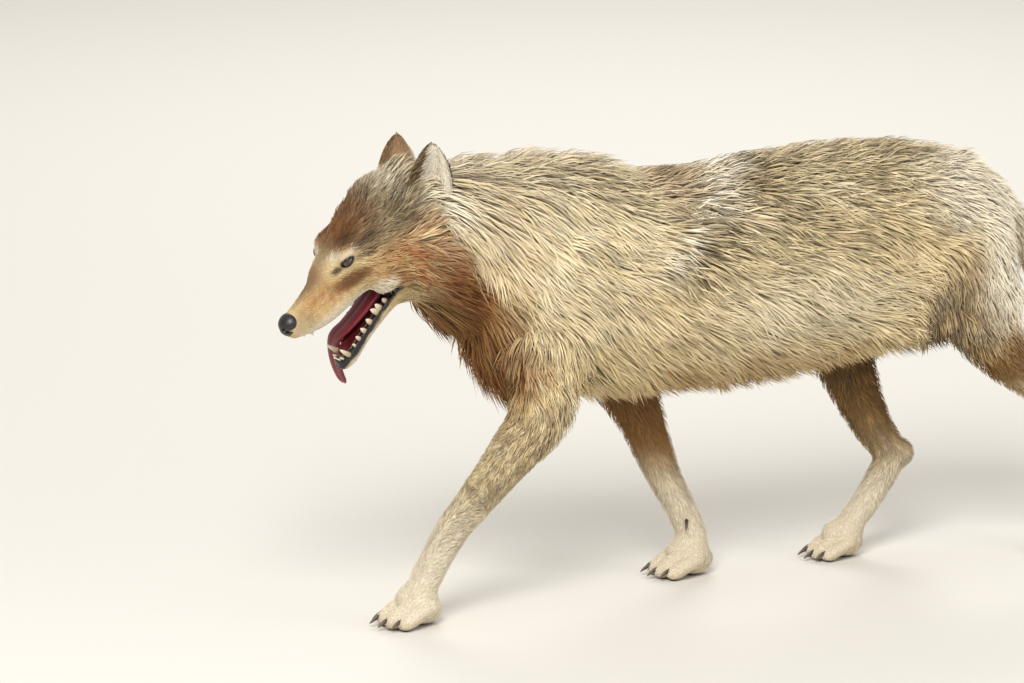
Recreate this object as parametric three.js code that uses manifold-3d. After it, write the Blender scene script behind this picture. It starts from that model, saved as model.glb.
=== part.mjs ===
// A life-size grey wolf, walking, with its head low and its mouth open.
// Millimetres. The wolf walks towards -X, its left side faces -Y, and +Z is up. The ground is z = 0.
// The body is one smooth field, drawn as a faceted skin. Thin cuts part it into the parts a person would name.
import * as THREE from "three";
import { mergeVertices } from "three/addons/utils/BufferGeometryUtils.js";
import Module from "manifold-3d";

const wasm = await Module();
wasm.setup();

// ---------------------------------------------------------------- driving dimensions

const GAP = 0.4; // clear space left by every cut between two parts
// The hinge is midway between the jaw joints. The nose is down by pitch and to the left by yaw.
const HEAD = { hinge: [-510, -18, 629], pitch: 33, yaw: 8 };
const JAW_OPEN = 24; // degrees
const EYE = { at: [-79, 39, 49], radius: 13.5 }; // in the head's frame, as all the next ones
const NOSE = { at: [-208, 0, 9], radii: [19, 21, 19] };
const EAR = { width: 88, cup: 1.0, thick: 5 };
const EAR_LEFT = { root: [86, -60, 40], tip: [141, -68, 122], opening: [-0.1, -1, -0.1] };
const EAR_RIGHT = { root: [87, 57, 31], tip: [144, 64, 113], opening: [-0.25, 1, -0.1] };
const FORE_PAW = { length: 112, width: 86, toe: 15 };
const HIND_PAW = { length: 100, width: 76, toe: 13.5 };
const CLAW = { length: 20, radius: 4.4 };

// Grid steps of the faceted skin along x, y and z. A pair runs evenly from first to last across its box.
const STEP = {
  torso: [[46, 66], 48, 52],
  head: [[13, 42], 20, 20],
  upperLeg: [44, 34, 52],
  lowerLeg: [23, 18, [16, 48]],
  tail: [38, 28, 42],
  nose: [7.5, 7.5, 7.5],
  tongue: [14, 11, 7],
};

// ---------------------------------------------------------------- frames

const rad = THREE.MathUtils.degToRad;
const vec = (p) => new THREE.Vector3(...p);

/** A frame turned nose down by pitch and nose left by yaw, placed at a point. */
function frameAt(at, pitch = 0, yaw = 0) {
  return new THREE.Matrix4()
    .makeTranslation(...at)
    .multiply(new THREE.Matrix4().makeRotationZ(rad(yaw)))
    .multiply(new THREE.Matrix4().makeRotationY(rad(-pitch)));
}

const worldFrame = new THREE.Matrix4();
const headFrame = frameAt(HEAD.hinge, HEAD.pitch, HEAD.yaw);
const jawFrame = headFrame.clone().multiply(frameAt([0, 0, 0], JAW_OPEN));

// ---------------------------------------------------------------- fields
// A field gives about the distance in mm from a point to a surface, negative inside it.

const FAR = 120; // beyond this distance from a shape's box, the box's distance will do

/** Joins two fields, rounding the crease between them over k mm. */
function soften(a, b, k) {
  const h = Math.max(k - Math.abs(a - b), 0) / k;
  return Math.min(a, b) - (h * h * k) / 4;
}

/** About the distance to an ellipsoid, from a point measured from its centre. */
function ellipsoidDistance(x, y, z, a, b, c) {
  const k0 = Math.hypot(x / a, y / b, z / c);
  const k1 = Math.hypot(x / (a * a), y / (b * b), z / (c * c));
  return k1 < 1e-9 ? -Math.min(a, b, c) : (k0 * (k0 - 1)) / k1;
}

/** An ellipsoid, with its radii along x, y and z. */
function blob(at, radii) {
  const [x0, y0, z0] = at;
  return (x, y, z) => ellipsoidDistance(x - x0, y - y0, z - z0, ...radii);
}

/**
 * A limb: ellipses carried along a smooth path through named sections.
 * A section has its centre `at` and its radii r = [to the side, above, below]. Along a path that runs
 * towards +X, above is up. Down a leg, above is the rear and below is the front.
 */
function limb(sections, cap = 0.8) {
  const links = 4;
  const through = (pick) =>
    new THREE.CatmullRomCurve3(sections.map((s) => vec(pick(s))), false, "centripetal");
  const path = through((s) => s.at);
  const size = through((s) => s.r);
  const count = (sections.length - 1) * links;
  const parts = [];
  for (let i = 0; i < count; i++) {
    const a = path.getPoint(i / count);
    const b = path.getPoint((i + 1) / count);
    const along = b.clone().sub(a);
    const length = along.length();
    along.divideScalar(length);
    const side = new THREE.Vector3(0, 1, 0).addScaledVector(along, -along.y).normalize();
    const above = along.clone().cross(side);
    const [from, to] = [size.getPoint(i / count), size.getPoint((i + 1) / count)];
    parts.push({ a, along, length, side, above, from, to });
  }
  const box = new THREE.Box3();
  for (const p of parts) {
    const reach = Math.max(p.from.x, p.from.y, p.from.z, p.to.x, p.to.y, p.to.z);
    box.expandByPoint(p.a.clone().addScalar(reach)).expandByPoint(p.a.clone().addScalar(-reach));
    const b = p.a.clone().addScaledVector(p.along, p.length);
    box.expandByPoint(b.clone().addScalar(reach)).expandByPoint(b.addScalar(-reach));
  }
  const v = new THREE.Vector3();
  return (x, y, z) => {
    const outside = box.distanceToPoint(v.set(x, y, z));
    if (outside > FAR) return outside;
    let best = Infinity;
    for (const p of parts) {
      v.set(x - p.a.x, y - p.a.y, z - p.a.z);
      const t = THREE.MathUtils.clamp(v.dot(p.along) / p.length, 0, 1);
      const l = v.dot(p.side);
      const u = v.dot(p.above);
      const w = v.dot(p.along) - t * p.length;
      const rs = p.from.x + (p.to.x - p.from.x) * t;
      const ru = u > 0 ? p.from.y + (p.to.y - p.from.y) * t : p.from.z + (p.to.z - p.from.z) * t;
      best = Math.min(best, ellipsoidDistance(l, u, w, rs, ru, cap * Math.min(rs, ru)));
    }
    return best;
  };
}

/** A field written in another frame. */
function placed(field, frame) {
  const m = frame.clone().invert().elements;
  return (x, y, z) =>
    field(
      m[0] * x + m[4] * y + m[8] * z + m[12],
      m[1] * x + m[5] * y + m[9] * z + m[13],
      m[2] * x + m[6] * y + m[10] * z + m[14],
    );
}

/** The same field on both sides of the middle plane of its frame. */
const mirrored = (field) => (x, y, z) => field(x, Math.abs(y), z);

/** A round-ended wedge that runs right through sideways, from one circle [x, z, radius] to another. */
function slot([x0, z0, r0], [x1, z1, r1]) {
  const dx = x1 - x0;
  const dz = z1 - z0;
  const square = dx * dx + dz * dz;
  return (x, y, z) => {
    const t = THREE.MathUtils.clamp(((x - x0) * dx + (z - z0) * dz) / square, 0, 1);
    return Math.hypot(x - x0 - t * dx, z - z0 - t * dz) - (r0 + (r1 - r0) * t);
  };
}

// ---------------------------------------------------------------- trunk, neck and tail

const trunk = limb([
  { at: [-285, 0, 588], r: [112, 172, 172] }, // base of the neck
  { at: [-190, 0, 562], r: [134, 190, 205] }, // shoulders
  { at: [-90, 0, 545], r: [142, 193, 203] }, // withers
  { at: [20, 0, 540], r: [145, 188, 200] }, // ribs
  { at: [130, 0, 545], r: [143, 190, 207] },
  { at: [240, 0, 553], r: [138, 191, 205] }, // loin
  { at: [340, 0, 568], r: [130, 178, 203] }, // flank
  { at: [430, 0, 585], r: [124, 155, 178] }, // croup
  { at: [515, 0, 588], r: [112, 130, 148] },
  { at: [575, 0, 580], r: [88, 98, 116] }, // buttocks
]);
const breast = blob([-276, -4, 452], [74, 84, 92]);
const neck = limb([
  { at: [-472, -17, 645], r: [98, 128, 122] }, // nape and throat
  { at: [-415, -10, 638], r: [110, 147, 148] },
  { at: [-340, -4, 622], r: [116, 160, 156] },
  { at: [-250, 0, 607], r: [118, 163, 168] },
  { at: [-150, 0, 600], r: [112, 152, 150] },
]);
const tail = limb([
  { at: [556, 0, 664], r: [34, 32, 36] },
  { at: [612, 0, 624], r: [32, 30, 32] }, // root
  { at: [656, 0, 578], r: [35, 34, 35] },
  { at: [702, 1, 522], r: [43, 43, 43] },
  { at: [736, 3, 455], r: [49, 50, 49] },
  { at: [754, 5, 385], r: [48, 49, 48] },
  { at: [763, 6, 322], r: [37, 38, 37] },
  { at: [766, 7, 285], r: [21, 22, 21] }, // tip
], 1.2);

// ---------------------------------------------------------------- head, in its own frame

const skull = limb([
  { at: [-112, 0, 16], r: [40, 40, 40] }, // root of the muzzle
  { at: [-90, 0, 22], r: [48, 46, 46] }, // stop
  { at: [-60, 0, 26], r: [62, 61, 54] }, // brow
  { at: [-22, 0, 26], r: [76, 79, 66] }, // forehead
  { at: [28, 0, 26], r: [80, 95, 76] }, // crown
  { at: [74, 0, 26], r: [74, 96, 70] }, // occiput
], 0.6);
const bridge = limb([
  { at: [-206, 0, 8], r: [16, 18, 18] },
  { at: [-160, 0, 13], r: [19, 25, 24] },
  { at: [-120, 0, 20], r: [25, 31, 28] },
  { at: [-88, 0, 26], r: [34, 40, 30] },
]);
const flews = limb([
  { at: [-208, 0, 0], r: [21, 15, 18] }, // lip under the nose
  { at: [-190, 0, -2], r: [31, 22, 25] },
  { at: [-150, 0, -4], r: [38, 26, 33] },
  { at: [-115, 0, -3], r: [43, 30, 31] },
  { at: [-85, 0, 3], r: [50, 36, 32] },
]);
const cheek = mirrored(blob([-24, 48, -12], [52, 30, 44]));
const brow = mirrored(blob([-66, 30, 67], [25, 20, 14]));
const ruff = mirrored(blob([40, 62, -30], [58, 40, 66]));
const earRoot = mirrored(blob([44, 48, 66], [38, 26, 26]));

const jawBone = limb([
  { at: [-197, 0, -29], r: [18, 10, 18] }, // chin
  { at: [-182, 0, -30], r: [25, 11, 23] },
  { at: [-140, 0, -30], r: [32, 11, 23] },
  { at: [-90, 0, -31], r: [42, 10, 30] },
  { at: [-40, 0, -36], r: [53, 9, 40] },
  { at: [10, 0, -42], r: [58, 20, 44] }, // angle of the jaw
], 0.7);

// The open mouth: the wedge between the lips, the roof of the mouth, and the floor where the tongue lies.
const lips = slot([-47, -55, 18], [-212, -92, 58]);
const palate = limb([
  { at: [-198, 0, -26], r: [17, 16, 24] },
  { at: [-150, 0, -32], r: [25, 24, 24] },
  { at: [-95, 0, -38], r: [31, 27, 24] },
  { at: [-40, 0, -50], r: [34, 26, 20] }, // throat
]);
const mouthFloor = limb([
  { at: [-180, 0, -16], r: [13, 12, 10] },
  { at: [-140, 0, -15], r: [21, 14, 13] },
  { at: [-90, 0, -14], r: [30, 16, 17] },
  { at: [-36, 0, -14], r: [37, 20, 20] },
]);
const mouthFloorInHead = placed(mouthFloor, frameAt([0, 0, 0], JAW_OPEN));
const jawInHead = placed(jawBone, frameAt([0, 0, 0], JAW_OPEN));

function head(x, y, z) {
  let d = soften(bridge(x, y, z), flews(x, y, z), 14);
  d = soften(d, skull(x, y, z), 16);
  d = soften(d, cheek(x, y, z), 22);
  d = soften(d, ruff(x, y, z), 30);
  d = soften(d, brow(x, y, z), 14);
  d = soften(d, earRoot(x, y, z), 20);
  d = Math.max(d, -lips(x, y, z));
  d = soften(d, jawInHead(x, y, z), 12);
  return Math.max(d, -palate(x, y, z), -mouthFloorInHead(x, y, z));
}
const headInWorld = placed(head, headFrame);

// ---------------------------------------------------------------- legs

/** The toes, pads and instep of a foot on the ground, in its own frame, walking towards -X. */
function foot({ length, width, toe }) {
  const toes = [
    { side: 0.165, lead: 0.42, lift: 1 },
    { side: 0.385, lead: 0.29, lift: 0.85 },
  ].map(({ side, lead, lift }) =>
    mirrored(limb([
      { at: [-lead * length, side * width, toe * 0.8], r: [toe * 0.92, toe * 0.9, toe] },
      { at: [(0.16 - lead) * length, side * width * 1.02, toe * 1.7 * lift], r: [toe, toe, toe] },
      { at: [(0.42 - lead) * length, side * width * 0.85, toe * 2.5 * lift], r: [toe, toe, toe] },
    ], 0.95)),
  );
  const pad = blob([0.13 * length, 0, 25], [0.34 * length, 0.38 * width, 27]);
  const instep = blob([0.02 * length, 0, 40], [0.32 * length, 0.34 * width, 27]);
  return (x, y, z) => {
    let d = soften(pad(x, y, z), instep(x, y, z), 12);
    for (const t of toes) d = soften(d, t(x, y, z), 6);
    return d;
  };
}

// Each leg has a shoulder or hip muscle, then its flesh down to the foot. Radii: [to the side, rear, front].
// `upper` is the outline that parts it from the trunk, and each cut below that is [place, direction down].
const LEGS = {
  foreleg_left: {
    side: -1,
    muscle: blob([-222, -82, 520], [78, 52, 138]),
    flesh: limb([
      { at: [-262, -86, 470], r: [46, 70, 60] }, // point of the shoulder
      { at: [-248, -94, 400], r: [44, 58, 76] }, // upper arm
      { at: [-250, -94, 338], r: [39, 46, 74] }, // elbow
      { at: [-308, -86, 276], r: [34, 40, 50] },
      { at: [-366, -77, 212], r: [30, 36, 35] }, // forearm
      { at: [-410, -70, 160], r: [29, 32, 30] }, // wrist
      { at: [-442, -66, 108], r: [28, 30, 28] },
      { at: [-464, -62, 66], r: [30, 30, 26] }, // pastern
      { at: [-480, -60, 38], r: [34, 30, 24] },
    ]),
    foot: { frame: frameAt([-478, -60, 0], 0, 4), size: FORE_PAW },
    upper: { inner: 38, outline: [[-128, 690], [-92, 610], [-108, 480], [-165, 400], [-180, 300],
      [-372, 300], [-338, 400], [-298, 500], [-256, 600], [-180, 680]] },
    low: [[-560, 0], [-178, 372]],
    dewclaw: { base: [-452, -43, 98], way: [-0.45, 0.8, -0.6] },
    cuts: [{ at: [-262, -90, 325], down: [-0.55, 0, -1] }, { at: [-408, -70, 160], down: [-0.5, 0, -1] }],
    names: ["upper", "forearm", "paw"],
  },
  foreleg_right: {
    side: 1,
    muscle: blob([-170, 82, 520], [80, 52, 138]),
    flesh: limb([
      { at: [-190, 86, 470], r: [46, 68, 60] },
      { at: [-112, 92, 400], r: [44, 72, 58] },
      { at: [-52, 88, 342], r: [38, 78, 46] }, // elbow
      { at: [-14, 78, 280], r: [32, 58, 38] },
      { at: [15, 69, 215], r: [29, 41, 34] },
      { at: [40, 62, 160], r: [28, 32, 31] }, // wrist
      { at: [66, 57, 108], r: [27, 30, 28] },
      { at: [82, 54, 66], r: [29, 29, 28] }, // pastern
      { at: [78, 52, 38], r: [33, 28, 30] },
    ]),
    foot: { frame: frameAt([68, 52, 0], 0, -3), size: FORE_PAW },
    upper: { inner: 38, outline: [[-110, 690], [-58, 610], [-36, 480], [24, 400], [40, 300],
      [-140, 300], [-196, 390], [-268, 470], [-244, 570], [-165, 680]] },
    low: [[-120, 0], [150, 372]],
    dewclaw: { base: [64, 34, 98], way: [-0.45, -0.8, -0.6] },
    cuts: [{ at: [-52, 88, 328], down: [0, 0, -1] }, { at: [40, 62, 160], down: [0.45, 0, -1] }],
    names: ["upper", "forearm", "paw"],
  },
  hindleg_left: {
    side: -1,
    muscle: blob([512, -64, 530], [112, 62, 122]),
    flesh: limb([
      { at: [510, -68, 545], r: [50, 108, 92] }, // hip
      { at: [528, -78, 470], r: [52, 112, 84] }, // thigh
      { at: [552, -84, 408], r: [46, 92, 54] }, // knee
      { at: [606, -82, 348], r: [37, 56, 42] },
      { at: [660, -77, 302], r: [30, 41, 33] }, // shank
      { at: [704, -72, 258], r: [27, 36, 28] }, // hock
      { at: [726, -67, 180], r: [25, 28, 26] },
      { at: [744, -63, 100], r: [26, 27, 26] },
      { at: [744, -61, 54], r: [29, 28, 27] }, // pastern
    ]),
    hock: blob([728, -71, 266], [20, 17, 22]),
    flank: blob([424, -56, 440], [100, 46, 60]),
    foot: { frame: frameAt([734, -60, 0], 0, 3), size: HIND_PAW },
    upper: { inner: 20, outline: [[400, 560], [455, 640], [540, 655], [610, 610], [680, 520],
      [760, 380], [720, 250], [455, 300], [446, 450]] },
    low: [[470, 0], [790, 420]],
    cuts: [{ at: [592, -83, 362], down: [1, 0, -0.9] }, { at: [708, -72, 236], down: [0.25, 0, -1] }],
    names: ["thigh", "shank", "foot"],
  },
  hindleg_right: {
    side: 1,
    muscle: blob([482, 64, 530], [104, 62, 122]),
    flesh: limb([
      { at: [474, 68, 545], r: [52, 102, 96] },
      { at: [430, 78, 450], r: [50, 96, 84] },
      { at: [374, 80, 362], r: [44, 72, 58] }, // knee
      { at: [396, 74, 286], r: [36, 53, 45] },
      { at: [424, 67, 222], r: [31, 43, 35] },
      { at: [456, 61, 166], r: [27, 34, 29] }, // hock
      { at: [426, 58, 108], r: [26, 29, 27] },
      { at: [390, 55, 64], r: [27, 27, 26] },
      { at: [372, 54, 38], r: [29, 26, 24] }, // pastern
    ]),
    hock: blob([488, 61, 168], [20, 17, 22]),
    foot: { frame: frameAt([358, 53, 0], 0, -3), size: HIND_PAW },
    upper: { inner: 20, outline: [[380, 580], [440, 645], [520, 655], [590, 610], [600, 500],
      [540, 380], [500, 250], [280, 250], [290, 400], [345, 500]] },
    low: [[280, 0], [545, 360]],
    cuts: [{ at: [384, 77, 318], down: [0.3, 0, -1] }, { at: [452, 61, 178], down: [0.35, 0, -1] }],
    names: ["thigh", "shank", "foot"],
  },
};
for (const leg of Object.values(LEGS)) leg.foot.field = placed(foot(leg.foot.size), leg.foot.frame);

// ---------------------------------------------------------------- the whole body

function body(x, y, z) {
  let d = soften(trunk(x, y, z), breast(x, y, z), 60);
  d = soften(d, neck(x, y, z), 50);
  d = soften(d, tail(x, y, z), 22);
  for (const { muscle, flesh, hock, flank, foot } of Object.values(LEGS)) {
    let leg = soften(flesh(x, y, z), foot.field(x, y, z), 16);
    if (hock) leg = soften(leg, hock(x, y, z), 24);
    if (flank) leg = soften(leg, flank(x, y, z), 40);
    leg = soften(leg, muscle(x, y, z), 30);
    d = soften(d, leg, 30);
  }
  d = soften(d, headInWorld(x, y, z), 30);
  return d;
}

// ---------------------------------------------------------------- from a field to facets

/** A field's gradient by central differences. */
function slopeOf(field, p, e = 0.5) {
  return new THREE.Vector3(
    field(p.x + e, p.y, p.z) - field(p.x - e, p.y, p.z),
    field(p.x, p.y + e, p.z) - field(p.x, p.y - e, p.z),
    field(p.x, p.y, p.z + e) - field(p.x, p.y, p.z - e),
  ).divideScalar(2 * e);
}

/** Grid lines from low to high, whose spacing goes evenly from the first step to the last. */
function gridLines(low, high, step) {
  const [first, last] = Array.isArray(step) ? step : [step, step];
  const lines = [low];
  while (lines.at(-1) < high) {
    const share = (lines.at(-1) - low) / (high - low);
    lines.push(lines.at(-1) + first + (last - first) * share);
  }
  return lines;
}

/**
 * Draws the surface field = 0 inside a box as quads. Each grid cell that the surface crosses has one vertex for
 * every group of its corners inside the shape. The vertex starts at the mean of the crossings on the cell's
 * edges that leave the group and then slides onto the surface.
 */
function facets(field, low, high, step) {
  const lines = [0, 1, 2].map((k) => gridLines(low[k], high[k], step[k]));
  const [nx, ny, nz] = lines.map((l) => l.length);
  const at = (i, j, k) => (k * ny + j) * nx + i;
  const value = new Float64Array(nx * ny * nz);
  for (let k = 0; k < nz; k++)
    for (let j = 0; j < ny; j++)
      for (let i = 0; i < nx; i++) {
        const rim = i === 0 || j === 0 || k === 0 || i === nx - 1 || j === ny - 1 || k === nz - 1;
        const d = field(lines[0][i], lines[1][j], lines[2][k]);
        value[at(i, j, k)] = rim ? Math.max(d, 1) : d || 1e-6;
      }
  const corners = [0, 1, 2, 3, 4, 5, 6, 7].map((c) => [c & 1, (c >> 1) & 1, c >> 2]);
  const edges = [];
  for (let a = 0; a < 8; a++) for (const bit of [1, 2, 4]) if (!(a & bit)) edges.push([a, a | bit]);
  const vertexOf = new Int32Array(nx * ny * nz * 8).fill(-1);
  const places = [];

  const addVertex = (i, j, k, mean) => {
    const cell = [i, j, k].map((c, axis) => lines[axis][c + 1] - lines[axis][c]);
    const p = new THREE.Vector3(lines[0][i], lines[1][j], lines[2][k]).add(mean.multiply(vec(cell)));
    const start = p.clone();
    for (let pass = 0; pass < 3; pass++) {
      const g = slopeOf(field, p);
      const size = Math.max(g.lengthSq(), 0.1);
      p.addScaledVector(g, -field(p.x, p.y, p.z) / size);
    }
    p.clamp(start.clone().addScaledVector(vec(cell), -0.5), start.clone().addScaledVector(vec(cell), 0.5));
    return places.push(p.x, p.y, p.z) / 3 - 1;
  };

  for (let k = 0; k < nz - 1; k++)
    for (let j = 0; j < ny - 1; j++)
      for (let i = 0; i < nx - 1; i++) {
        const v = corners.map(([a, b, c]) => value[at(i + a, j + b, k + c)]);
        const inside = v.filter((d) => d <= 0).length;
        if (inside === 0 || inside === 8) continue;
        let group = [0, 1, 2, 3, 4, 5, 6, 7];
        for (const [a, b] of edges)
          if (v[a] <= 0 && v[b] <= 0) group = group.map((g) => (g === group[b] ? group[a] : g));
        for (const g of new Set(group.filter((_, c) => v[c] <= 0))) {
          const mean = new THREE.Vector3();
          let crossings = 0;
          for (const [a, b] of edges) {
            if (v[a] <= 0 === v[b] <= 0 || group[v[a] <= 0 ? a : b] !== g) continue;
            mean.add(vec(corners[a]).lerp(vec(corners[b]), v[a] / (v[a] - v[b])));
            crossings++;
          }
          const vertex = addVertex(i, j, k, mean.divideScalar(crossings));
          group.forEach((own, c) => {
            if (own === g) vertexOf[at(i, j, k) * 8 + c] = vertex;
          });
        }
      }

  // One quad round each grid edge that leaves the shape, through the four cells that share the edge.
  const index = [];
  const around = [[0, 1, 2], [1, 2, 0], [2, 0, 1]];
  for (let k = 0; k < nz - 1; k++)
    for (let j = 0; j < ny - 1; j++)
      for (let i = 0; i < nx - 1; i++)
        for (const [u, v, w] of around) {
          const here = [i, j, k];
          const next = [...here];
          next[u]++;
          const outside = value[at(...here)] > 0;
          if (outside === value[at(...next)] > 0) continue;
          const inner = outside ? next : here;
          const quad = [[1, 1], [0, 1], [0, 0], [1, 0]].map(([back, side]) => {
            const cell = [...here];
            cell[v] -= back;
            cell[w] -= side;
            const corner = inner[0] - cell[0] + 2 * (inner[1] - cell[1]) + 4 * (inner[2] - cell[2]);
            return vertexOf[at(...cell) * 8 + corner];
          });
          if (outside) quad.reverse();
          index.push(quad[0], quad[1], quad[2], quad[0], quad[2], quad[3]);
        }
  return new THREE.BufferGeometry()
    .setAttribute("position", new THREE.Float32BufferAttribute(places, 3))
    .setIndex(index);
}


// ---------------------------------------------------------------- solids

/** A closed geometry as a solid that can be cut and joined. */
function solid(geometry) {
  const bare = geometry.index ? geometry.toNonIndexed() : geometry.clone();
  bare.deleteAttribute("normal");
  bare.deleteAttribute("uv");
  const merged = mergeVertices(bare, 1e-3);
  return new wasm.Manifold(new wasm.Mesh({
    numProp: 3,
    vertProperties: new Float32Array(merged.attributes.position.array),
    triVerts: new Uint32Array(merged.index.array),
  }));
}

/** A solid's surface as a geometry. */
function geometryOf(made) {
  const m = made.getMesh();
  const places = new Float32Array(m.numVert * 3);
  for (let i = 0; i < m.numVert; i++)
    places.set(m.vertProperties.subarray(i * m.numProp, i * m.numProp + 3), i * 3);
  return new THREE.BufferGeometry()
    .setAttribute("position", new THREE.BufferAttribute(places, 3))
    .setIndex(new THREE.BufferAttribute(new Uint32Array(m.triVerts), 1));
}

/** A solid whose surface is moved out along its normals, for cutting a clear space round it. */
function grown(made, by = GAP) {
  const g = geometryOf(made);
  g.computeVertexNormals();
  const p = g.attributes.position;
  const n = g.attributes.normal;
  for (let i = 0; i < p.count; i++)
    p.setXYZ(i, p.getX(i) + by * n.getX(i), p.getY(i) + by * n.getY(i), p.getZ(i) + by * n.getZ(i));
  return solid(g);
}

const BIG = 2400; // larger than the wolf

/** The half of space beyond a plane, as a big block. `facing` points into it, and `shift` moves it that way. */
function beyond(at, facing, shift, frame = worldFrame) {
  const block = new THREE.BoxGeometry(BIG, BIG, BIG).translate(0, 0, BIG / 2 + shift);
  const turn = new THREE.Quaternion().setFromUnitVectors(new THREE.Vector3(0, 0, 1), vec(facing).normalize());
  return solid(block.applyQuaternion(turn).translate(...at).applyMatrix4(frame));
}

/** A closed outline of [x, z] corners, moved outwards by a small distance. */
function spreadOut(outline, by) {
  const n = outline.length;
  const area = outline.reduce((sum, [x, z], i) => {
    const [x1, z1] = outline[(i + 1) % n];
    return sum + x * z1 - x1 * z;
  }, 0);
  const away = by * Math.sign(area);
  return outline.map(([x, z], i) => {
    const [ax, az] = outline[(i + n - 1) % n];
    const [bx, bz] = outline[(i + 1) % n];
    const before = new THREE.Vector2(z - az, ax - x).normalize();
    const after = new THREE.Vector2(bz - z, x - bx).normalize();
    const mid = before.clone().add(after);
    mid.multiplyScalar((2 * away) / mid.lengthSq());
    return [x + mid.x, z + mid.y];
  });
}

/** An upright outline in the x-z plane of a frame, run right through sideways between y = from and y = to. */
function through(outline, frame = worldFrame, from = -BIG / 2, to = BIG / 2) {
  const shape = new THREE.Shape(outline.map(([x, z]) => new THREE.Vector2(x, z)));
  const block = new THREE.ExtrudeGeometry(shape, { depth: to - from, bevelEnabled: false });
  // The outline's own x and y become x and z, and its depth runs from y = to back to y = from.
  block.applyMatrix4(new THREE.Matrix4().makeRotationX(Math.PI / 2)).translate(0, to, 0);
  return solid(block.applyMatrix4(frame));
}

const largest = (made) => made.decompose().sort((a, b) => b.volume() - a.volume())[0];

/**
 * A closed geometry whose rings of points are joined in order. A round ring's ends are closed by a fan, and a
 * folded ring, which runs up one face of a sheet and back down the other, by a strip.
 */
function loft(rings, folded = false) {
  const sides = rings[0].length;
  const places = rings.flat().flatMap((p) => [p.x, p.y, p.z]);
  const index = [];
  for (let i = 0; i < rings.length - 1; i++)
    for (let j = 0; j < sides; j++) {
      const a = i * sides + j;
      const b = i * sides + ((j + 1) % sides);
      index.push(a, b, b + sides, a, b + sides, a + sides);
    }
  for (const [ring, turned] of [[0, true], [rings.length - 1, false]]) {
    const at = (j) => ring * sides + ((j + sides) % sides);
    const face = (a, b, c) => index.push(...(turned ? [c, b, a] : [a, b, c]));
    if (folded) {
      for (let j = 0; j < sides / 2 - 1; j++) {
        face(at(j), at(j + 1), at(-1 - j));
        face(at(j + 1), at(-2 - j), at(-1 - j));
      }
    } else {
      const mid = rings[ring].reduce((m, p) => m.add(p), new THREE.Vector3()).divideScalar(sides);
      const c = places.push(mid.x, mid.y, mid.z) / 3 - 1;
      for (let j = 0; j < sides; j++) face(c, at(j), at(j + 1));
    }
  }
  return new THREE.BufferGeometry()
    .setAttribute("position", new THREE.Float32BufferAttribute(places, 3))
    .setIndex(index);
}

/** A tooth or claw: a cone from `base` along `way`, bent towards `bend` by up to a share of its length. */
function spike({ base, way, bend = [0, 0, 0], length, radius, sides = 5, flat = 1 }) {
  const along = vec(way).normalize();
  const across = new THREE.Vector3(0, 1, 0).addScaledVector(along, -along.y).normalize();
  const third = along.clone().cross(across);
  const rings = [0, 0.6, 1].map((t) => {
    const r = Math.max(radius * Math.sqrt(1 - t * t * 0.98), 0.6);
    const c = vec(base).addScaledVector(along, t * length).addScaledVector(vec(bend), t * t * length);
    return Array.from({ length: sides }, (_, j) => {
      const a = (2 * Math.PI * j) / sides;
      return c.clone().addScaledVector(across, r * flat * Math.cos(a)).addScaledVector(third, r * Math.sin(a));
    });
  });
  return loft(rings);
}

const wolf = new THREE.Group();

/** The part of a field's shape inside a box in a frame, as a solid in the wolf's own frame. */
function region(field, low, high, step, frame = worldFrame) {
  return solid(facets(placed(field, frame.clone().invert()), low, high, step).applyMatrix4(frame));
}

// ---------------------------------------------------------------- colours

const paint = (color, roughness = 0.9) =>
  new THREE.MeshStandardMaterial({ color, roughness, metalness: 0 });
const COLOUR = {
  back: paint(0xa8957a),
  face: paint(0x9a7654),
  pale: paint(0xcdbd9c),
  ear: paint(0x6f5b48),
  tail: paint(0x94846c),
  nose: paint(0x17161a, 0.35),
  eye: paint(0xb98a35, 0.1),
  mouth: paint(0xa24350, 0.4),
  claw: paint(0x2c2723, 0.5),
};

function add(name, made, look) {
  const mesh = new THREE.Mesh(geometryOf(made), look);
  mesh.name = name;
  wolf.add(mesh);
  return made;
}

// ---------------------------------------------------------------- head, mouth and face

/** A piece built in the head's frame or the jaw's frame, as a solid in the wolf's own. */
const inFrame = (geometry, frame) => solid(geometry.clone().applyMatrix4(frame));
const joined = (list) => list.reduce((a, b) => a.add(b));

/** Both the left and the right of a tooth; `side` is its distance from the middle of the jaw. */
const pair = ({ x, side, z, way, ...rest }, frame) =>
  [-1, 1].map((s) => inFrame(spike({ base: [x, s * side, z], way: [way[0], s * way[1], way[2]], ...rest }), frame));

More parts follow.
